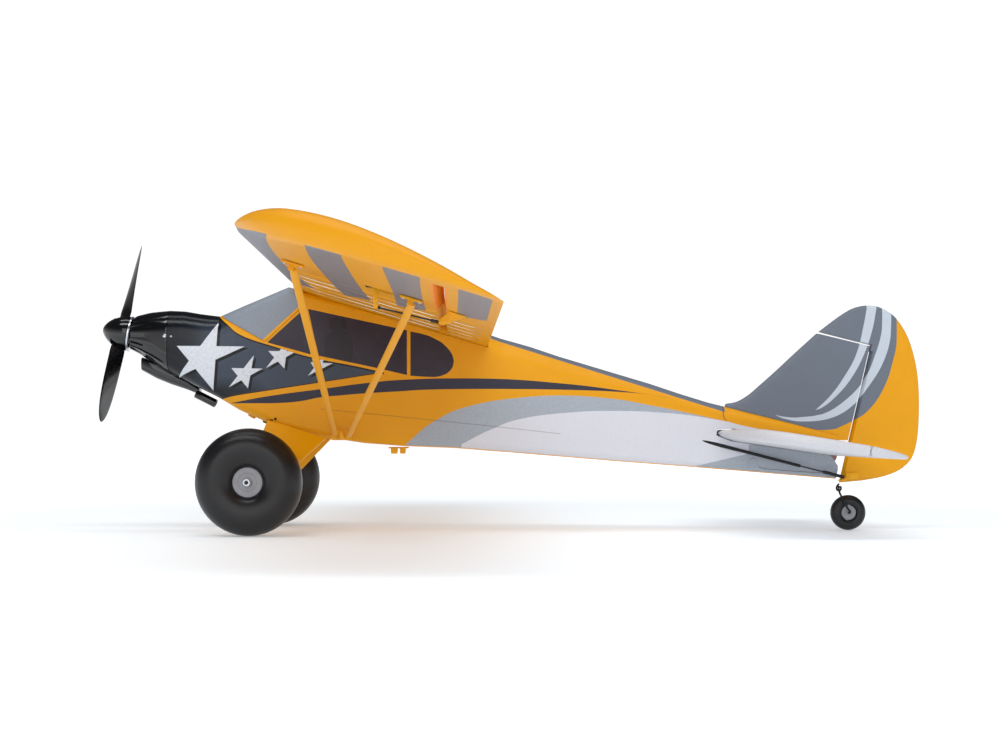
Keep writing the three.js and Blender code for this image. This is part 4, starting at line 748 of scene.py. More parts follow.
def wing_port():
    u = 0.5 * (1 - np.cos(np.linspace(0, np.pi, 62)))
    u[0] = 0
    hu0, hl0 = upper(u), lower(u)
    ys = [0.2, 20, 40, 58]
    for k in range(7):
        c = 44 + 48 * k
        ys += [y for y in (c - 12, c - 3.2, c - 1.6, c - 0.7, c + 0.7, c + 1.6, c + 3.2, c + 12) if 60 <= y <= 345]
    ys += [348, 380, 412, 440, 470, 500]
    rings = []
    for y in sorted(set(ys)):
        rib = np.exp(-(((y - 44 + 24) % 48 - 24) / 1.5) ** 2) if 60 <= y <= 345 else 0
        drop_by = 0.9 * rib * np.clip((u - 0.12) / 0.04, 0, 1) * np.clip((0.93 - u) / 0.02, 0, 1) * (np.abs(u - HINGE_U) > 0.03)
        up = [on_chord(a, h, -y) for a, h in zip(u, hu0)]
        lo = [on_chord(a, h, -y) for a, h in zip(u, hl0 - drop_by)]
        rings.append(np.array(up[::-1] + lo[1:]))
    for f in (0.14, 0.28, 0.42, 0.55, 0.67, 0.77, 0.85, 0.905, 0.94, 0.965, 0.982, 0.993, 0.9985, 1.0):
        y = 500 + (tip_at(u) - 500) * f
        d = np.zeros_like(u) if f == 1 else to_tip(u * CHORD, y)
        k = np.sqrt(np.clip(1 - (1 - np.minimum(1, d / 13)) ** 2, 0, None))
        mid = hl0 + (hu0 - hl0) * 0.55
        up = [on_chord(a, h, -b) for a, h, b in zip(u, mid + (hu0 - mid) * k, y)]
        lo = [on_chord(a, h, -b) for a, h, b in zip(u, mid + (hl0 - mid) * k, y)]
        rings.append(np.array(up[::-1] + lo[1:]))
    return loft("wing_whole", rings, 40, weld=0.01)


def hinge_at(du, h):
    p = on_chord(HINGE_U + du / CHORD, h)
    return (p[0], p[2])


def behind_hinge(y0, y1):
    return prism("behind", [hinge_at(0, 30), hinge_at(0, -12), hinge_at(80, -12), hinge_at(80, 30)], y0, y1)


def groove(y0, y1):
    top = float(upper(HINGE_U)) + 3
    return prism("groove", [hinge_at(-0.5, top), hinge_at(-0.5, top - 5), hinge_at(-5.8, -3), hinge_at(5.8, -3), hinge_at(0.5, top - 5), hinge_at(0.5, top)], y0, y1)


def boolean_all(o, cutters, how="DIFFERENCE"):
    col = bpy.data.collections.new("cutters")
    for c in cutters:
        col.objects.link(c)
    m = o.modifiers.new("cut", "BOOLEAN")
    m.operation, m.solver, m.operand_type, m.collection = how, "EXACT", "COLLECTION", col
    baked(o)
    drop(*cutters)
    bpy.data.collections.remove(col)
    return o


def rod(name, a, b, r, sides=20):
    return tube(name, [a, b], r, sides, curve=False)


def side_pair(o, stem, body, mat, node, slot=None):
    """A port piece and its starboard mirror, each on its own body and node."""
    right = mirrored(o, stem + "_right")
    o.name = stem + "_left"
    done(o, body + "_left" if body != "airframe" else body, mat, node + "_left", slot=slot)
    done(right, body + "_right" if body != "airframe" else body, mat, node + "_right", slot=slot)
    return o, right


whole = wing_port()
SERVO_BOTTOM = 202.7 + (-32.7 + 127) * 0.2962
aileron = copy_of(whole, "aileron")
boolean(aileron, behind_hinge(-616, -349), "INTERSECT")
boolean(aileron, groove(-616.6, -348.4))
smooth(aileron, 40)
wing = boolean_all(whole, [
    behind_hinge(-616.6, -348.4),
    box("pocket", -139, -115, -407, -391, SERVO_BOTTOM - 12, SERVO_BOTTOM + 13),
    rod("tube_hole", (-170, -146, 257.6), (-170, 1, 257.6), 4.6),
])
wing = boolean_all(wing, [
    groove(-616.6, -348.4),
    prism("notch", [hinge_at(-5.6, -2), hinge_at(-1, 7.5), hinge_at(1, 7.5), hinge_at(5.6, -2)], -348.4, -79),
])
smooth(wing, 40)
side_pair(wing, "wing_foam", "airframe", M["wing"], "wing", "foam_yellow")
side_pair(aileron, "aileron_foam", "aileron", M["wing"], "aileron", "foam_yellow")

# ================================================================ fuselage
TOP = [[-420, 234.5], [-414, 237], [-400, 240], [-389, 241], [-373, 242], [-357, 241], [-340, 238], [-318.4, 235.1], [-318, 235], [-317.6, 235.16], [-242.4, 265.84], [-242, 266], [-241.6, 265.9], [-20.4, 214.1], [-20, 214], [-19.6, 213.9], [21, 202.6], [54, 191.6], [87, 181.8], [120, 171.9], [153, 162.1], [186, 151.1], [218, 141.2], [237, 136.5], [300, 121.5], [361.5, 106.6]]
BOTTOM = [[-420, 201], [-414, 198.6], [-405, 194], [-378, 175.4], [-351, 162], [-320, 146.7], [-296, 132.5], [-269, 120.4], [-249, 110.6], [-201, 101.3], [-181, 99.6], [-160, 96.3], [-116, 93], [-61, 90.9], [-12, 87], [54, 81.5], [120, 76], [186, 71], [251, 65.7], [317, 60.2], [361.5, 56.6]]
HALF_W = [[-420, 19], [-414, 22], [-400, 28.5], [-374, 34], [-340, 37], [-300, 38], [-150, 38], [-60, 36], [0, 33], [100, 25], [200, 17.5], [300, 10.5], [361.5, 6.8]]
R_BOTTOM = [[-420, 18.5], [-400, 22], [-374, 22], [-340, 15], [-300, 10], [-60, 9], [100, 8], [300, 5], [361.5, 3.5]]
R_TOP = [[-420, 18.5], [-400, 24], [-374, 26], [-330, 24], [-290, 14], [-242, 9], [-30, 10], [-10, 27], [100, 22], [200, 16], [300, 9.8], [361.5, 6.3]]


def ring_at(x, grow=0.0, shear=0.0, arc=11):
    w, zt, zb = float(lerp(HALF_W, x)) + grow, float(lerp(TOP, x)) + grow, float(lerp(BOTTOM, x)) - grow
    half = (zt - zb) / 2 - 0.05
    rb = min(float(lerp(R_BOTTOM, x)) + grow, w - 0.05, half)
    rt = min(float(lerp(R_TOP, x)) + grow, w - 0.05, half)
    out = []
    for cy, cz, r, a0 in ((w - rb, zb + rb, rb, -90), (w - rt, zt - rt, rt, 0), (-(w - rt), zt - rt, rt, 90), (-(w - rb), zb + rb, rb, 180)):
        for i in range(arc + 1):
            a = math.radians(a0 + 90 * i / arc)
            y, z = cy + r * math.cos(a), cz + r * math.sin(a)
            out.append((x + (z - 216) * shear, y, z))
    return np.array(out)


def body_loft(name, grow=0.0, x0=-374.0, x1=361.5, step=9.0):
    keys = [-374, -357, -340, -330, -318.4, -318, -317.6, -300, -296, -290, -269, -249, -242.4, -242, -241.6, -201, -181, -160, -116, -61, -30, -20.4, -20, -19.6, -10, 0, 21, 54, 87, 100, 120, 153, 186, 200, 218, 237, 251, 300, 317, 361.5]
    xs = sorted(set([k for k in keys if x0 <= k <= x1] + list(np.arange(x0, x1, step)) + [x0, x1]))
    keep = [xs[0]]
    for x in xs[1:]:
        if x - keep[-1] > 0.35:
            keep.append(x)
    return loft(name, [ring_at(x, grow) for x in keep], 34)


def tail_frame():
    e = np.array((1, 0, -0.155)) / math.hypot(1, 0.155)
    n = np.array((0.155, 0, 1)) / math.hypot(1, 0.155)
    return np.array((348.0, 0, 89.0)) - e * 348, e, n


TO, TEX, TEN = tail_frame()


def tail_prism(name, pts, y0=-230, y1=230):
    """X-N outline in the tailplane's own frame, extruded across Y."""
    n = len(pts)
    v = [TO + TEX * a + TEN * c + np.array((0, y, 0)) for y in (y0, y1) for a, c in pts]
    f = [tuple(range(n)), tuple(range(2 * n - 1, n - 1, -1))] + [(i, i + n, (i + 1) % n + n, (i + 1) % n) for i in range(n)]
    return mesh_of(name, v, f)


def stab_room(name="stab_room"):
    o = tail_prism(name, [(225, -3.2), (242, -6.9), (347.5, -6.1), (347.5, 6.1), (242, 6.9), (225, 3.2)], -212, 212)
    return o


def hx(z):
    return 363 + (z - 52.4) * 0.23316


def seat_cut(name="seat"):
    pts = []
    for u in (0, 0.004, 0.0125, 0.025, 0.05, 0.1, 0.2, 0.3, 1):
        p = on_chord(u, float(lower(u)) - 0.35)
        pts.append((p[0] - (0.35 if u < 0.03 else 0), p[2]))
    te = on_chord(1, -0.35)
    pts += [(te[0] + 1.2, te[2]), (te[0] + 1.2, 320), (pts[0][0], 320)]
    return prism(name, pts, -60, 60)


HO, HT, HM = np.array((-338.0, 0, 155.6)), (0.888, 0, -0.460), (0.460, 0, 0.888)


def hatch_box(name, t0, t1, y, n0, n1):
    return framed_box(name, HO, HT, (0, 1, 0), HM, (t0, -y, n0), (t1, y, n1))


def rod_point(a, b, x):
    a, b = np.asarray(a, float), np.asarray(b, float)
    return a + (b - a) * (x - a[0]) / (b[0] - a[0])


RA, RB = (200, -14.6, 101.6), (362.6, -16, 59.7)
EA, EB = (200, 13.4, 91), (345.4, 16.9, 73.2)
outer = body_loft("outer")
wedge = prism("wedge", [(-318.6, 238.5), (-315.7, 233.5), (-267, 206), (-227, 243.4), (-227, 300), (-318.6, 300)], -60, 60)
boolean(wedge, body_loft("inner24", -2.4))
body = copy_of(outer, "body")
body = boolean_all(body, [seat_cut(), wedge])
body = boolean_all(body, [
    hatch_box("bay", -4, 90, 20, 7, 38), box("gear_slot", -265.5, -258.5, -40, 40, 90, 121.9), stab_room(),
    prism("end_slant", [(358.4, 50), (361.2, 66), (366, 66), (366, 50)], -20, 20),
    rod("guide_a", rod_point(RA, RB, 198.5), rod_point(RA, RB, 330), 2.1), rod("guide_b", rod_point(EA, EB, 198.5), rod_point(EA, EB, 330), 2.1)])
body = boolean_all(body, [
    hatch_box("hatch_hole", 21.2, 70.6, 20.8, -12, 8),
    prism("notch_a", [(352.2, 99), (352.2, 83.4), (358.2, 76.4), (361.0, 71.8), (372, 71.8), (372, 99)], -40, 40),
    revolve("notch_b", [(0, -3.4), (20.6, -3.4), (20.6, 3.4), (0, 3.4)], (348, 0, 89), (1, 0, 0), (0, 1, 0), (0, 0, 1), 48)])


def biggest(o):
    """Keeps the largest connected part."""
    bm = bmesh.new()
    bm.from_mesh(o.data)
    seen, groups = set(), []
    for v in bm.verts:
        if v in seen:
            continue
        stack, g = [v], []
        seen.add(v)
        while stack:
            q = stack.pop()
            g.append(q)
            for e in q.link_edges:
                w = e.other_vert(q)
                if w not in seen:
                    seen.add(w)
                    stack.append(w)
        groups.append(g)
    groups.sort(key=len)
    bmesh.ops.delete(bm, geom=[v for g in groups[:-1] for v in g], context="VERTS")
    bm.to_mesh(o.data)
    bm.free()
    return o


for side, node in ((-1, "left"), (1, "right")):
    half = copy_of(body, "fuselage_foam_" + node)
    boolean(half, box("half", -600, 600, *((-200, -0.15) if side < 0 else (0.15, 200)), -10, 400), "INTERSECT")
    biggest(half)
    smooth(half, 34)
    done(half, "airframe", M["body"], "fuselage_" + node, slot="foam_yellow")
drop(body)

screen = copy_of(outer, "windscreen_skin")
boolean(screen, prism("wedge_in", [(-318.2, 239.0), (-315.2, 233.9), (-267.05, 206.7), (-227.9, 243.3), (-227.9, 300), (-318.2, 300)], -60, 60), "INTERSECT")
screen = boolean_all(screen, [body_loft("inner20", -2.0), seat_cut()])
biggest(screen)
done(smooth(screen, 34), "airframe", M["screen"], "windshield", slot="screen_grey")

hatch = copy_of(outer, "hatch_foam")
boolean(hatch, hatch_box("hatch_in", 22, 69.8, 20, -12, 6.4), "INTERSECT")
knob_o = HO + np.array(HT) * 60 + np.array(HM) * -1.6
knob = revolve("knob", [(0, -2.1), (3.4, -2.1), (4.1, -1.6), (4.5, -0.8), (4.5, 1.6), (4.3, 2.1), (0, 2.1)], knob_o, HT, tuple(HM), (0, 1, 0), 36)
hatch = join([smooth(hatch, 34), knob], "battery_hatch_foam")
done(hatch, "battery_hatch", M["body"], "battery_hatch", slot="foam_yellow")

# =============================================================== nose set
TH = math.radians(10)
HUB = np.array((-430.0, 0, 218.5))
FWD, TUP = np.array((-math.cos(TH), 0, math.sin(TH))), np.array((math.sin(TH), 0, math.cos(TH)))
EXT = (0, -1, 0)


def shear(x):
    return math.tan(TH) * min(1, max(0, (-374 - x) / 40))


def cowl_ring(x, grow):
    r = ring_at(x, grow, shear(x), arc=22)
    c = np.array((0, 0, 216.0))
    a = np.degrees(np.arctan2(r[:, 2] - c[2], np.abs(r[:, 1])))
    fade = np.clip((-382 - x) / 22, 0, 1) if grow > -2 else 0
    dent = sum(np.exp(-((a - k) / 5.0) ** 2) for k in (-52, -30, -8, 18, 42)) * 1.3 * fade
    d = np.c_[np.zeros(len(r)), r[:, 1], r[:, 2] - c[2]]
    d /= np.maximum(np.linalg.norm(d, axis=1), 1e-6)[:, None]
    return r - d * dent[:, None]


cowl_x = [(-417.3, -1.6), (-417.1, -0.9), (-416.6, -0.35), (-415.6, -0.05), (-414.6, 0), (-413, 0), (-411, 0), (-409, 0), (-407, 0), (-404, 0), (-401, 0), (-398, 0), (-394, 0), (-390, 0), (-386, 0), (-382, 0), (-378, 0), (-375.2, 0), (-374.6, -0.15), (-374.35, -0.5)]
cowl = loft("cowl_gloss", [cowl_ring(x, g) for x, g in cowl_x], 34)
boolean(cowl, loft("cowl_in", [ring_at(x, -2.6, shear(x), arc=22) for x in (-425, -413, -407, -398, -387, -369)], 34))
done(smooth(cowl, 34), "airframe", M["gloss"], "cowl", slot="gloss_black")

SPINNER = [[0, 20.8], [1.6, 20.65], [3.0, 20.2], [4.4, 19.6], [6.6, 18.1], [8.8, 16.4], [10.9, 14.2], [12.8, 11.8], [14.6, 9.2], [16, 6.5], [17.2, 3.8], [18.1, 1], [18.8, -1.6], [19.2, -4], [19.4, -6.6], [19.4, -8.5], [19.1, -8.8]]
SPIN_IN = [[17.8, -8.8], [17.6, -4], [16.4, 0.5], [14.3, 5.7], [11.2, 10.6], [7.6, 14.8], [4, 17.4], [0, 18.6]]
spinner = revolve("spinner_gloss", SPINNER + SPIN_IN, HUB, EXT, FWD, TUP, 96, 40)
CK = math.radians(15)
ct, st_ = math.cos(-CK), math.sin(-CK)


def turned_frame(ang):
    """Hub frame turned about the thrust line."""
    c, s = math.cos(ang), math.sin(ang)
    ex = np.array(EXT, float) * c - TUP * s
    ez = np.array(EXT, float) * s + TUP * c
    return ex, ez


bx, bz = turned_frame(-CK)
boolean(spinner, framed_box("slots", HUB, bx, FWD, bz, (-9.75, -10.6, -30), (9.75, 8.8, 30)))
done(smooth(spinner, 40), "propeller", M["gloss"], "spinner", slot="gloss_black")
plate_ = revolve("backplate_metal", [[2.9, -11.6], [19.0, -11.6], [19.6, -11.2], [19.6, -9.5], [19.3, -9.2], [2.9, -9.2], [2.9, -11.6]], HUB, EXT, FWD, TUP, 96, 34)
done(plate_, "propeller", M["silver"], "spinner_backplate", slot="silver")
CHORDS = catmull([[5, 12.4], [7, 13], [15, 17], [30, 20], [45, 23.5], [60, 26], [75, 26.5], [88, 23.5], [97, 17], [102, 9], [104, 3]], 8)
SECT = catmull([(0.5, 0), (0.47, 0.2), (0.38, 0.42), (0.15, 0.62), (-0.15, 0.52), (-0.38, 0.26), (-0.495, 0.05), (-0.495, -0.04), (-0.38, -0.2), (0, -0.32), (0.38, -0.26), (0.47, -0.15)], 4, closed=True)


def blade(ang):
    rings = []
    for r in np.concatenate([np.linspace(6, 88, 34), np.linspace(89.5, 103.8, 16)]):
        c = float(np.interp(r, CHORDS[:, 0], CHORDS[:, 1]))
        beta = min(0.82, math.atan(165 / (2 * math.pi * r)))
        t = max(0.5, c * (0.26 - 0.13 * min(1, max(0, (r - 12) / 16)) - 0.04 * r / 104))
        xx, yy = SECT[:, 0] * c, SECT[:, 1] * t
        lx = -xx * math.cos(beta) + yy * math.sin(beta)
        ly = xx * math.sin(beta) + yy * math.cos(beta)
        ex, ez = turned_frame(ang)
        rings.append(placed(np.c_[lx, ly, np.full(len(lx), r)], HUB, ex, FWD, ez))
    return loft("blade", rings, 50)


hubp = revolve("prop_hub", [[3.0, -8.6], [8.2, -8.6], [8.6, -8.2], [8.6, 4.8], [8.2, 5.2], [3.0, 5.2], [3.0, -8.6]], HUB, EXT, FWD, TUP, 48, 34)
prop = blade(-CK)
boolean(prop, blade(math.pi - CK), "UNION")
boolean(prop, hubp, "UNION")
boolean(prop, revolve("bore", [[0, -12], [2.9, -12], [2.9, 8], [0, 8]], HUB, EXT, FWD, TUP, 32))
prop.name = "propeller_blades"
done(smooth(prop, 50), "propeller", M["prop"], "propeller", slot="gloss_black")


# =================================================================== wheels
def tyre_profile(R, crest, half, rim, inner):
    a = np.linspace(0, math.pi / 2, 15)
    p = [(crest + (R - crest) * math.cos(t), -half * math.sin(t)) for t in a]
    p += [(crest - (crest - rim) * math.sin(t), -inner - (half - inner) * math.cos(t)) for t in a[1:]]
    p += [(crest - (crest - rim) * math.sin(t), inner + (half - inner) * math.cos(t)) for t in a[::-1][:-1]]
    p += [(crest + (R - crest) * math.cos(t), half * math.sin(t)) for t in a[::-1]]
    return p


XYZ = ((1, 0, 0), (0, 1, 0), (0, 0, 1))
WC = (-275.5, -112, 56)
side_pair(revolve("tyre", tyre_profile(56, 36.5, 20.5, 16.2, 11), WC, *XYZ, 128, 50), "tyre_foam", "wheel", M["rubber"], "tyre", "rubber")
hub = revolve("hub", [[2.3, -13.5], [4.8, -13.5], [5.2, -13.1], [5.2, -11.6], [9.2, -11.3], [9.5, -11.0], [10.0, -11.0], [10.3, -11.3], [15.2, -11.2], [15.8, -10.6], [15.8, 10.6], [15.2, 11.2], [5.2, 11.4], [5.2, 13.1], [4.8, 13.5], [2.3, 13.5], [2.3, -13.5]], WC, *XYZ, 72, 34)
side_pair(hub, "hub_disc", "wheel", M["hub"], "hub", "pale_grey")
collar = revolve("collar", [[2.1, -3], [3.6, -3], [3.9, -2.7], [3.9, 2.7], [3.6, 3], [2.1, 3], [2.1, -3]], (-275.5, -129.2, 56), *XYZ, 48, 34)
side_pair(collar, "axle_collar_metal", "airframe", M["silver"], "axle_collar", "silver")
TW = (374, 0, 19.4)
done(revolve("tail_tyre_foam", tyre_profile(19.4, 13.6, 6.6, 8.35, 4.2), TW, *XYZ, 72, 50), "tail_wheel", M["rubber"], "tail_tyre", slot="rubber")
done(revolve("tail_hub_disc", [[1.5, -5.2], [3, -5.2], [3, -4.2], [7.7, -4.2], [8, -3.9], [8, 3.9], [7.7, 4.2], [3, 4.2], [3, 5.2], [1.5, 5.2], [1.5, -5.2]], TW, *XYZ, 48, 34), "tail_wheel", M["hub"], "tail_hub", slot="pale_grey")
gear_pts = [(-275.5, -134, 56), (-275.5, -112, 56), (-275.5, -90, 56), (-275.2, -85.5, 58.6), (-272, -72, 74), (-265.5, -48, 101), (-262.6, -37, 113.5), (-262, -32, 118), (-262, -26, 119.6), (-262, 0, 119.6)]
gear_pts += [(x, -y, z) for x, y, z in gear_pts[:-1][::-1]]
done(tube("gear_wire_steel", gear_pts, 1.75, 20, 8), "airframe", M["steel"], "gear_wire", slot="steel")
tw = [(364.2, 0, 51.4), (361.5, 0, 47), (362.5, 0, 44), (366, 0, 44.5), (366.2, 0, 47.4), (363.6, -1.7, 47.6), (364, -3.2, 42), (367, -9.4, 33), (371, -10.6, 25), (374, -10.8, 20.9), (374, -9.6, 19.4), (374, -5, 19.4), (374, 9.5, 19.4)]
done(tube("tail_wheel_spring", tw, 1.1, 14, 9, sharp=50), "rudder", M["steel"], "tail_wheel_wire", slot="steel")


# ===================================================================== tail
def plate(name, outline, half_t, R, frame_of, coarse=9.0):
    """A flat piece with a rounded rim: outline in its plane, half thickness over the plane."""
    p = np.asarray(outline, float)
    out = []
    for a, b in zip(p, np.roll(p, -1, 0)):
        k = max(1, int(math.ceil(np.linalg.norm(b - a) / 3.0)))
        out += [a + (b - a) * i / k for i in range(k)]
    o = np.array(out)
    area = 0.5 * np.sum(o[:, 0] * np.roll(o[:, 1], -1) - np.roll(o[:, 0], -1) * o[:, 1])
    if area < 0:
        o = o[::-1]
    t = np.roll(o, -1, 0) - np.roll(o, 1, 0)
    t /= np.linalg.norm(t, axis=1)[:, None]
    nrm = np.c_[-t[:, 1], t[:, 0]]
    A, B = o, np.roll(o, -1, 0)

    def dist(q):
        d = B - A
        r = np.empty(len(q))
        for s in range(0, len(q), 400):
            w = q[s:s + 400, None, :]
            u = np.clip(((w - A) * d).sum(2) / (d * d).sum(1), 0, 1)
            r[s:s + 400] = np.linalg.norm(w - A - u[..., None] * d, axis=2).min(1)
        return r

    def inside(q):
        c = np.zeros(len(q), bool)
        for a, b in zip(A, B):
            hit = ((a[1] > q[:, 1]) != (b[1] > q[:, 1])) & (q[:, 0] < (b[0] - a[0]) * (q[:, 1] - a[1]) / (b[1] - a[1] + 1e-12) + a[0])
            c ^= hit
        return c
    pts = []
    for f in (0.03, 0.12, 0.28, 0.52, 0.8, 1.15):
        q = o + nrm * R * f
        q = q[inside(q)]
        pts.append(q[dist(q) > 0.93 * R * f])
    lo, hi = o.min(0), o.max(0)
    gx, gy = np.meshgrid(np.arange(lo[0], hi[0], coarse), np.arange(lo[1], hi[1], coarse))
    q = np.c_[gx.ravel(), gy.ravel()] + 0.37
    q = q[inside(q)]
    pts.append(q[dist(q) > R * 1.15 + coarse * 0.4])
    q = np.vstack(pts)
    allp = np.vstack([o, q])
    n = len(o)
    v, _, f, orig, _, _ = delaunay_2d_cdt([Vector(a) for a in allp], [(i, (i + 1) % n) for i in range(n)], [], 1, 1e-4)
    v = np.array([tuple(a) for a in v])
    dd = dist(v)
    rim = dd < 1e-3
    k = np.sqrt(np.clip(1 - (1 - np.minimum(1, dd / R)) ** 2, 0, None))
    th = half_t(v[:, 0], v[:, 1]) * k
    th[rim] = 0
    top = np.arange(len(v))
    bot = np.where(rim, top, np.cumsum(~rim) - 1 + len(v))
    V2 = np.vstack([np.c_[v, th], np.c_[v, -th][~rim]])
    o_, ea, eb, en = frame_of
    P = placed(V2, o_, ea, eb, en)
    faces = [tuple(a) for a in f] + [tuple(bot[i] for i in a[::-1]) for a in f]
    return mesh_of(name, P, faces, 34)


XZ = ((0, 0, 0), (1, 0, 0), (0, 0, 1), (0, 1, 0))
fin_line = np.vstack([[(237.2, 120), (237.2, 136)], catmull([(238.6, 139.6), (251, 142.1), (263.3, 149.2), (276, 160), (289.7, 172.1), (316.3, 196.8), (341, 219.2)], 6), [(360, 236), (430, 236), (430, 85), (237.2, 85)]])
fin = plate("fin_foam", fin_line, lambda a, b: np.interp(a, [230, 258], [3.6, 5.5]), 5.5, XZ)
fin = boolean_all(fin, [
    prism("above_fin", [(320, 221.9), (hx(203.2) - 1.2, 203.2), (hx(99.5) - 1.2, 99.5), (hx(40) - 1.2, 40), (470, 40), (470, 260), (320, 260)], -20, 20),
    body_loft("body35", 0.35, 186), box("fin_floor", 340, 380, -10, 10, 60, 99.3)])
fin = boolean_all(fin, [stab_room("stab_room2"), prism("below_fin", [(200, 40), (470, 40), (470, 92), (340, 92), (200, 100)], -20, 20)])
biggest(fin)
done(smooth(fin, 34), "airframe", M["tail"], "tail_fin", slot="tail_grey")

rud_line = np.vstack([catmull([(390.4, 54.7), (413.4, 59.2), (431, 66.2), (441.6, 75), (446, 82), (450.3, 97.9), (452.6, 124.4), (452.2, 159.7), (448.6, 186.3), (439.8, 214.5), (428.3, 233), (420, 240.5), (406.3, 247.2), (393.8, 248.4), (379.7, 245.4), (365.7, 237.4), (341.4, 219.4)], 6), [(325, 206), (330, 120), (350, 52.6), (364, 52.4)]])
ax_ = np.array((0.23316, 1.0)) / math.hypot(0.23316, 1)


def rud_half(a, b):
    s = (a - 363) * ax_[1] - (b - 52.4) * ax_[0]
    return np.interp(s, [-60, -20, 8, 66, 90], [4.6, 5.5, 5.5, 1.7, 0.9])


rud = plate("rudder_foam", rud_line, rud_half, 4.0, XZ)
cuts = [prism("rud_front", [(300, 230), (399.5, 204.8), (hx(40) + 1, 40), (300, 40)], -20, 20)]
for s in (1, -1):
    o_ = np.array((363, 0, 52.4))
    ex_, ez_ = np.array((ax_[1], 0, -ax_[0])), np.array((ax_[0], 0, ax_[1]))
    prof = [(-3, s * 12), (-3, s * 0.9), (1.0, s * 0.9), (6.2, s * 9), (6.2, s * 12)]
    vv = [o_ + ex_ * a + np.array((0, b, 0)) + ez_ * c for c in (-2, 149.4) for a, b in prof]
    ff = [(0, 1, 2, 3, 4), (9, 8, 7, 6, 5)] + [(i, i + 5, (i + 1) % 5 + 5, (i + 1) % 5) for i in range(5)]
    cuts.append(mesh_of("rud_bevel", vv, ff))
rud = boolean_all(rud, cuts)
biggest(rud)
done(smooth(rud, 34), "rudder", M["tail"], "rudder", slot="tail_grey")

half_plan = [(227, 0), (228, 60), (231, 110), (237, 150), (247, 178), (262, 196), (283, 205), (312, 208)]
edge_ = catmull(half_plan, 7)
stab_line = np.vstack([np.c_[edge_[:, 0], -edge_[:, 1]][1:][::1], [(347.1, -207), (347.1, 207)], edge_[::-1]])
TF = (TO, TEX, (0, 1, 0), TEN)
stab_t = lambda a, b: np.interp(a, [226.5, 242.5, 348, 397], [2.6, 6.4, 5.6, 1.3])
stab_line[stab_line[:, 0] > 347] += (4, 0)
stab = plate("tailplane_foam", stab_line, stab_t, 6.0, TF)
stab = boolean_all(stab, [box("joiner_room", 345, 357, -8, 8, 70, 110), tail_prism("stab_end", [(347.15, -12), (360, -12), (360, 12), (347.15, 12)])])
done(smooth(biggest(stab), 34), "airframe", M["white"], "stabilizer", slot="white_foam")
el = np.vstack([[(338, -9.4), (338, -206.2)], catmull([(352, -206.2), (364, -204.5), (378, -199), (388, -189), (394, -174), (396.3, -150), (396.3, -100), (396.3, -52), (393, -38), (384, -28), (366, -17), (350, -9.4)], 6)])
elev = plate("elevator", el, lambda a, b: np.interp(a, [226.5, 242.5, 348, 397.5], [2.6, 6.4, 5.6, 1.6]), 3.5, TF)
elev = boolean_all(elev, [tail_prism("elev_nose", [(330, 9), (353.2, 9), (348.6, 1.2), (348.6, -1.2), (353.2, -9), (330, -9)])])
boolean(elev, rod("joiner_hole", (355, -22.6, 87.9), (355, 22.6, 87.9), 1.75))
smooth(biggest(elev), 34)
elev_r = mirrored(elev, "elevator_foam_right")
elev.name = "elevator_foam_left"
done(elev, "elevator", M["white"], "elevator_left", slot="white_foam")
done(elev_r, "elevator", M["white"], "elevator_right", slot="white_foam")


# =================================================================== struts
def head_z(x):
    return 202.7 + (-32.7 - x) * 0.2962


def strut(foot, x_head):
    foot, head = np.array(foot, float), np.array((x_head, -425, head_z(x_head) - 6))
    d = (head - foot) / np.linalg.norm(head - foot)
    wide = np.array((1.0, 0, 0)) - d * d[0]
    wide /= np.linalg.norm(wide)
    thin = np.cross(d, wide)
    L = np.linalg.norm(head - foot)
    a = np.linspace(0, 2 * np.pi, 28, endpoint=False)
    rings = []
    for s, k in ((0, 0.62), (0.8, 0.75), (8, 1), (L * 0.5, 1), (L - 9, 1), (L - 0.8, 0.85), (L, 0.7)):
        e = 0.8 if k < 1 else 1
        rings.append(foot + d * s + (np.sign(np.cos(a)) * np.abs(np.cos(a)) ** 0.8)[:, None] * wide * 3.6 * k + np.sin(a)[:, None] * thin * 1.9 * e)
    bar_ = loft("bar", rings, 40)
    f = (np.array((x_head, -425, head_z(x_head))), EU, (0, 1, 0), EN)
    foot_plate = framed_box("p", *f, (-10, -3.5, -2.55), (10, 3.5, -0.35))
    lug = framed_box("l", *f, (-2.5, -2.25, -7.6), (2.5, 2.25, -1.6))
    for q in (foot_plate, lug):
        m = q.modifiers.new("e", "BEVEL")
        m.width, m.segments = 0.6 * MM, 3
        baked(q)
    screws = [revolve("s", [(0, -3.35), (1.3, -3.3), (1.9, -2.9), (1.9, -2.4), (0, -2.4)], f[0] + EU * t, EU, EN, (0, 1, 0), 20, 30) for t in (-7, 7)]
    return join([bar_, foot_plate, lug], "strut"), join(screws, "screws")


for stem, foot, xh in (("strut_front", (-190.2, -42.6, 104), -199), ("strut_rear", (-176.8, -42.6, 103), -98)):
    b_, s_ = strut(foot, xh)
    smooth(b_, 40)
    smooth(s_, 40)
    sr = mirrored(s_, stem + "_screws_right")
    s_.name = stem + "_screws_left"
    done(s_, "airframe", M["silver"], slot="silver")
    done(sr, "airframe", M["silver"], slot="silver")
    side_pair(b_, stem + "_foam", "airframe", M["yellow"], stem, "foam_yellow")


# ============================================== smaller pieces from the frame
def carry(node, mat, body, bevel=0.3, slot=None, name=None):
    return done(cad_copy(node, name or node + "_piece", bevel), body, M[mat], node, slot=slot)


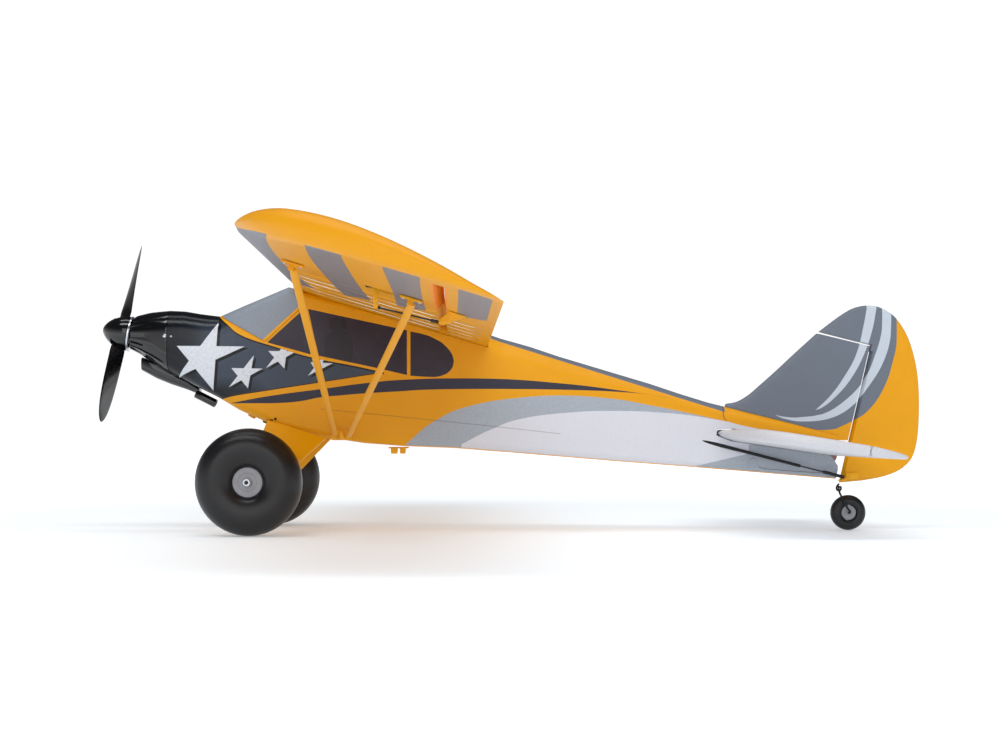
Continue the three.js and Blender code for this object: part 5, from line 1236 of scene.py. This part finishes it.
for sd in ("left", "right"):
    carry("aileron_servo_" + sd, "black", "airframe", 0.6, "black_plastic")
    carry("aileron_arm_" + sd, "yplastic", "servo_arm_" + sd, 0.35, "foam_yellow")
    carry("aileron_rod_" + sd, "steel", "aileron_rod_" + sd, 0.0, "steel")
    carry("aileron_horn_" + sd, "yplastic", "aileron_" + sd, 0.25, "foam_yellow")
    carry("strut_bracket_" + sd, "yplastic", "airframe", 0.5, "foam_yellow")
    carry("gear_fairing_" + sd, "yellow", "airframe", 0.35, "foam_yellow")
carry("wing_tube", "black", "airframe", 0.2, "black_plastic")
carry("chin_scoop", "gloss", "airframe", 0.4, "gloss_black")
carry("firewall", "black", "airframe", 0.2, "black_plastic")
carry("motor_stator", "silver", "airframe", 0.2, "silver")
carry("motor_bell", "silver", "propeller", 0.4, "silver")
carry("battery_pack", "pack", "airframe", 2.0, "black_plastic")
carry("gear_cover", "black", "airframe", 0.3, "black_plastic")
carry("float_mount_rear", "yplastic", "airframe", 0.5, "foam_yellow")
carry("elevator_joiner", "brown", "elevator", 0.3, "fibre_brown")
carry("elevator_horn", "black", "elevator", 0.25, "black_plastic")
carry("rudder_horn", "yplastic", "rudder", 0.3, "foam_yellow")
carry("rudder_sleeve", "black", "airframe", 0.0, "black_plastic")
carry("rudder_rod", "steel", "rudder_rod", 0.0, "steel")
carry("elevator_sleeve", "black", "airframe", 0.0, "black_plastic")
carry("elevator_rod", "steel", "elevator_rod", 0.0, "steel")
drop(outer)


def screw(name, at, axis, r, body="airframe", mat="silver", h=0.9):
    ax = np.array(axis, float)
    ax /= np.linalg.norm(ax)
    ex = np.cross(ax, (0.1, 0.3, 1.0))
    ex /= np.linalg.norm(ex)
    o = revolve(name, [(0, h * 0.55), (r * 0.22, h * 0.55), (r * 0.3, h), (r * 0.7, h * 0.92), (r, h * 0.4), (r, -1.2), (0, -1.2)], at, ex, ax, np.cross(ex, ax), 28, 34)
    return done(o, body, M[mat], slot="silver" if mat == "silver" else None)


def side_point(x, z, grow=0.0):
    """The port skin at that X and Z."""
    if x < -374:
        r = cowl_ring(x, grow)
    else:
        r = ring_at(x, grow)
    r = r[r[:, 1] < 0]
    k = np.argmin(np.abs(r[:, 2] - z))
    return r[k]


for nm, x, z, r in (("cowl_screw_a", -376.8, 213.0, 2.0), ("cowl_screw_b", -369.5, 212.4, 1.2)):
    q = side_point(x, z)
    screw(nm + "_left", (x, q[1], z), (0, -1, 0.12), r)
    screw(nm + "_right", (x, -q[1], z), (0, 1, 0.12), r)

# ============================================================ floor and light
w = bpy.data.worlds.new("studio")
SC.world = w
w.use_nodes = True
t = w.node_tree
t.nodes.clear()
wo = t.nodes.new("ShaderNodeOutputWorld")
lp = t.nodes.new("ShaderNodeLightPath")
co = t.nodes.new("ShaderNodeTexCoord")
sp = t.nodes.new("ShaderNodeSeparateXYZ")
t.links.new(co.outputs["Generated"], sp.inputs[0])
rp = t.nodes.new("ShaderNodeValToRGB")
mr = t.nodes.new("ShaderNodeMapRange")
mr.inputs["From Min"].default_value, mr.inputs["From Max"].default_value = -1, 1
t.links.new(sp.outputs[2], mr.inputs["Value"])
t.links.new(mr.outputs[0], rp.inputs[0])
el_ = rp.color_ramp.elements
el_[0].position, el_[0].color = 0.0, (0.9, 0.9, 0.92, 1)
el_[1].position, el_[1].color = 1.0, (0.05, 0.05, 0.055, 1)
for pos, c in ((0.53, 0.95), (0.62, 0.35), (0.72, 0.06)):
    e = el_.new(pos)
    e.color = (c, c, c * 1.02, 1)
bg_c, bg_g, bg_d = (t.nodes.new("ShaderNodeBackground") for _ in range(3))
bg_c.inputs[0].default_value, bg_c.inputs[1].default_value = (1, 1, 1, 1), 1.05
t.links.new(rp.outputs[0], bg_g.inputs[0])
bg_g.inputs[1].default_value = 1.0
bg_d.inputs[0].default_value, bg_d.inputs[1].default_value = (1, 1, 1, 1), 0.60
mx1, mx2 = t.nodes.new("ShaderNodeMixShader"), t.nodes.new("ShaderNodeMixShader")
t.links.new(lp.outputs["Is Glossy Ray"], mx1.inputs[0])
t.links.new(bg_d.outputs[0], mx1.inputs[1])
t.links.new(bg_g.outputs[0], mx1.inputs[2])
t.links.new(lp.outputs["Is Camera Ray"], mx2.inputs[0])
t.links.new(mx1.outputs[0], mx2.inputs[1])
t.links.new(bg_c.outputs[0], mx2.inputs[2])
t.links.new(mx2.outputs[0], wo.inputs[0])

fm = bpy.data.meshes.new("floor")
fm.from_pydata([(-9, -9, -0.0002), (9, -9, -0.0002), (9, 9, -0.0002), (-9, 9, -0.0002)], [], [(0, 1, 2, 3)])
floor = bpy.data.objects.new("floor", fm)
SC.collection.objects.link(floor)
F = Mat("floor_pale")
floor.data.materials.append(F.finish(F.mix(F.noise(3.0), (0.84, 0.90, 0.95, 1), (0.86, 0.92, 0.97, 1)), 0.6, spec=0.1))
F.b.inputs["Emission Color"].default_value = (1, 1, 1, 1)
reach = F.n("ShaderNodeVectorMath")
reach.operation = "LENGTH"
F.t.links.new(F.n("ShaderNodeTexCoord").outputs["Object"], reach.inputs[0])
F.put(F.b.inputs["Emission Strength"], F.math("ADD", F.math("MULTIPLY", F.math("MULTIPLY_ADD", reach.outputs["Value"], 1 / 1.6, -0.7 / 1.6, clamp=True), 0.53), 0.23))


def area(name, at, to, sx, sy, power, col=(1, 1, 1)):
    L = bpy.data.lights.new(name, "AREA")
    L.shape, L.size, L.size_y, L.energy, L.color = "RECTANGLE", sx, sy, power, col
    o = bpy.data.objects.new(name, L)
    SC.collection.objects.link(o)
    o.location = at
    o.rotation_euler = (Vector(to) - Vector(at)).to_track_quat("-Z", "Y").to_euler()
    return o


area("strip_near", (-0.1, -0.9, 1.9), (-0.05, 0, 0.1), 2.6, 0.35, 15)
area("strip_over", (0.0, 0.15, 2.1), (0, 0, 0.1), 2.4, 0.30, 7)
area("fill_front", (-0.4, -3.2, 1.2), (0, 0, 0.15), 2.6, 1.6, 20)

cam = bpy.data.cameras.new("camera")
co_ = bpy.data.objects.new("camera", cam)
SC.collection.objects.link(co_)
co_.location = (-0.062, -1.84, 0.104)
co_.rotation_euler = (math.radians(90), 0, 0)
cam.sensor_width, cam.lens = 36.0, 36.0 * 1662 / 1000
cam.shift_x, cam.shift_y = 0.046, 0.061
cam.clip_start, cam.clip_end = 0.05, 60
cam.dof.use_dof = False
SC.camera = co_
SC.view_settings.view_transform = "Standard"
SC.view_settings.look = "None"
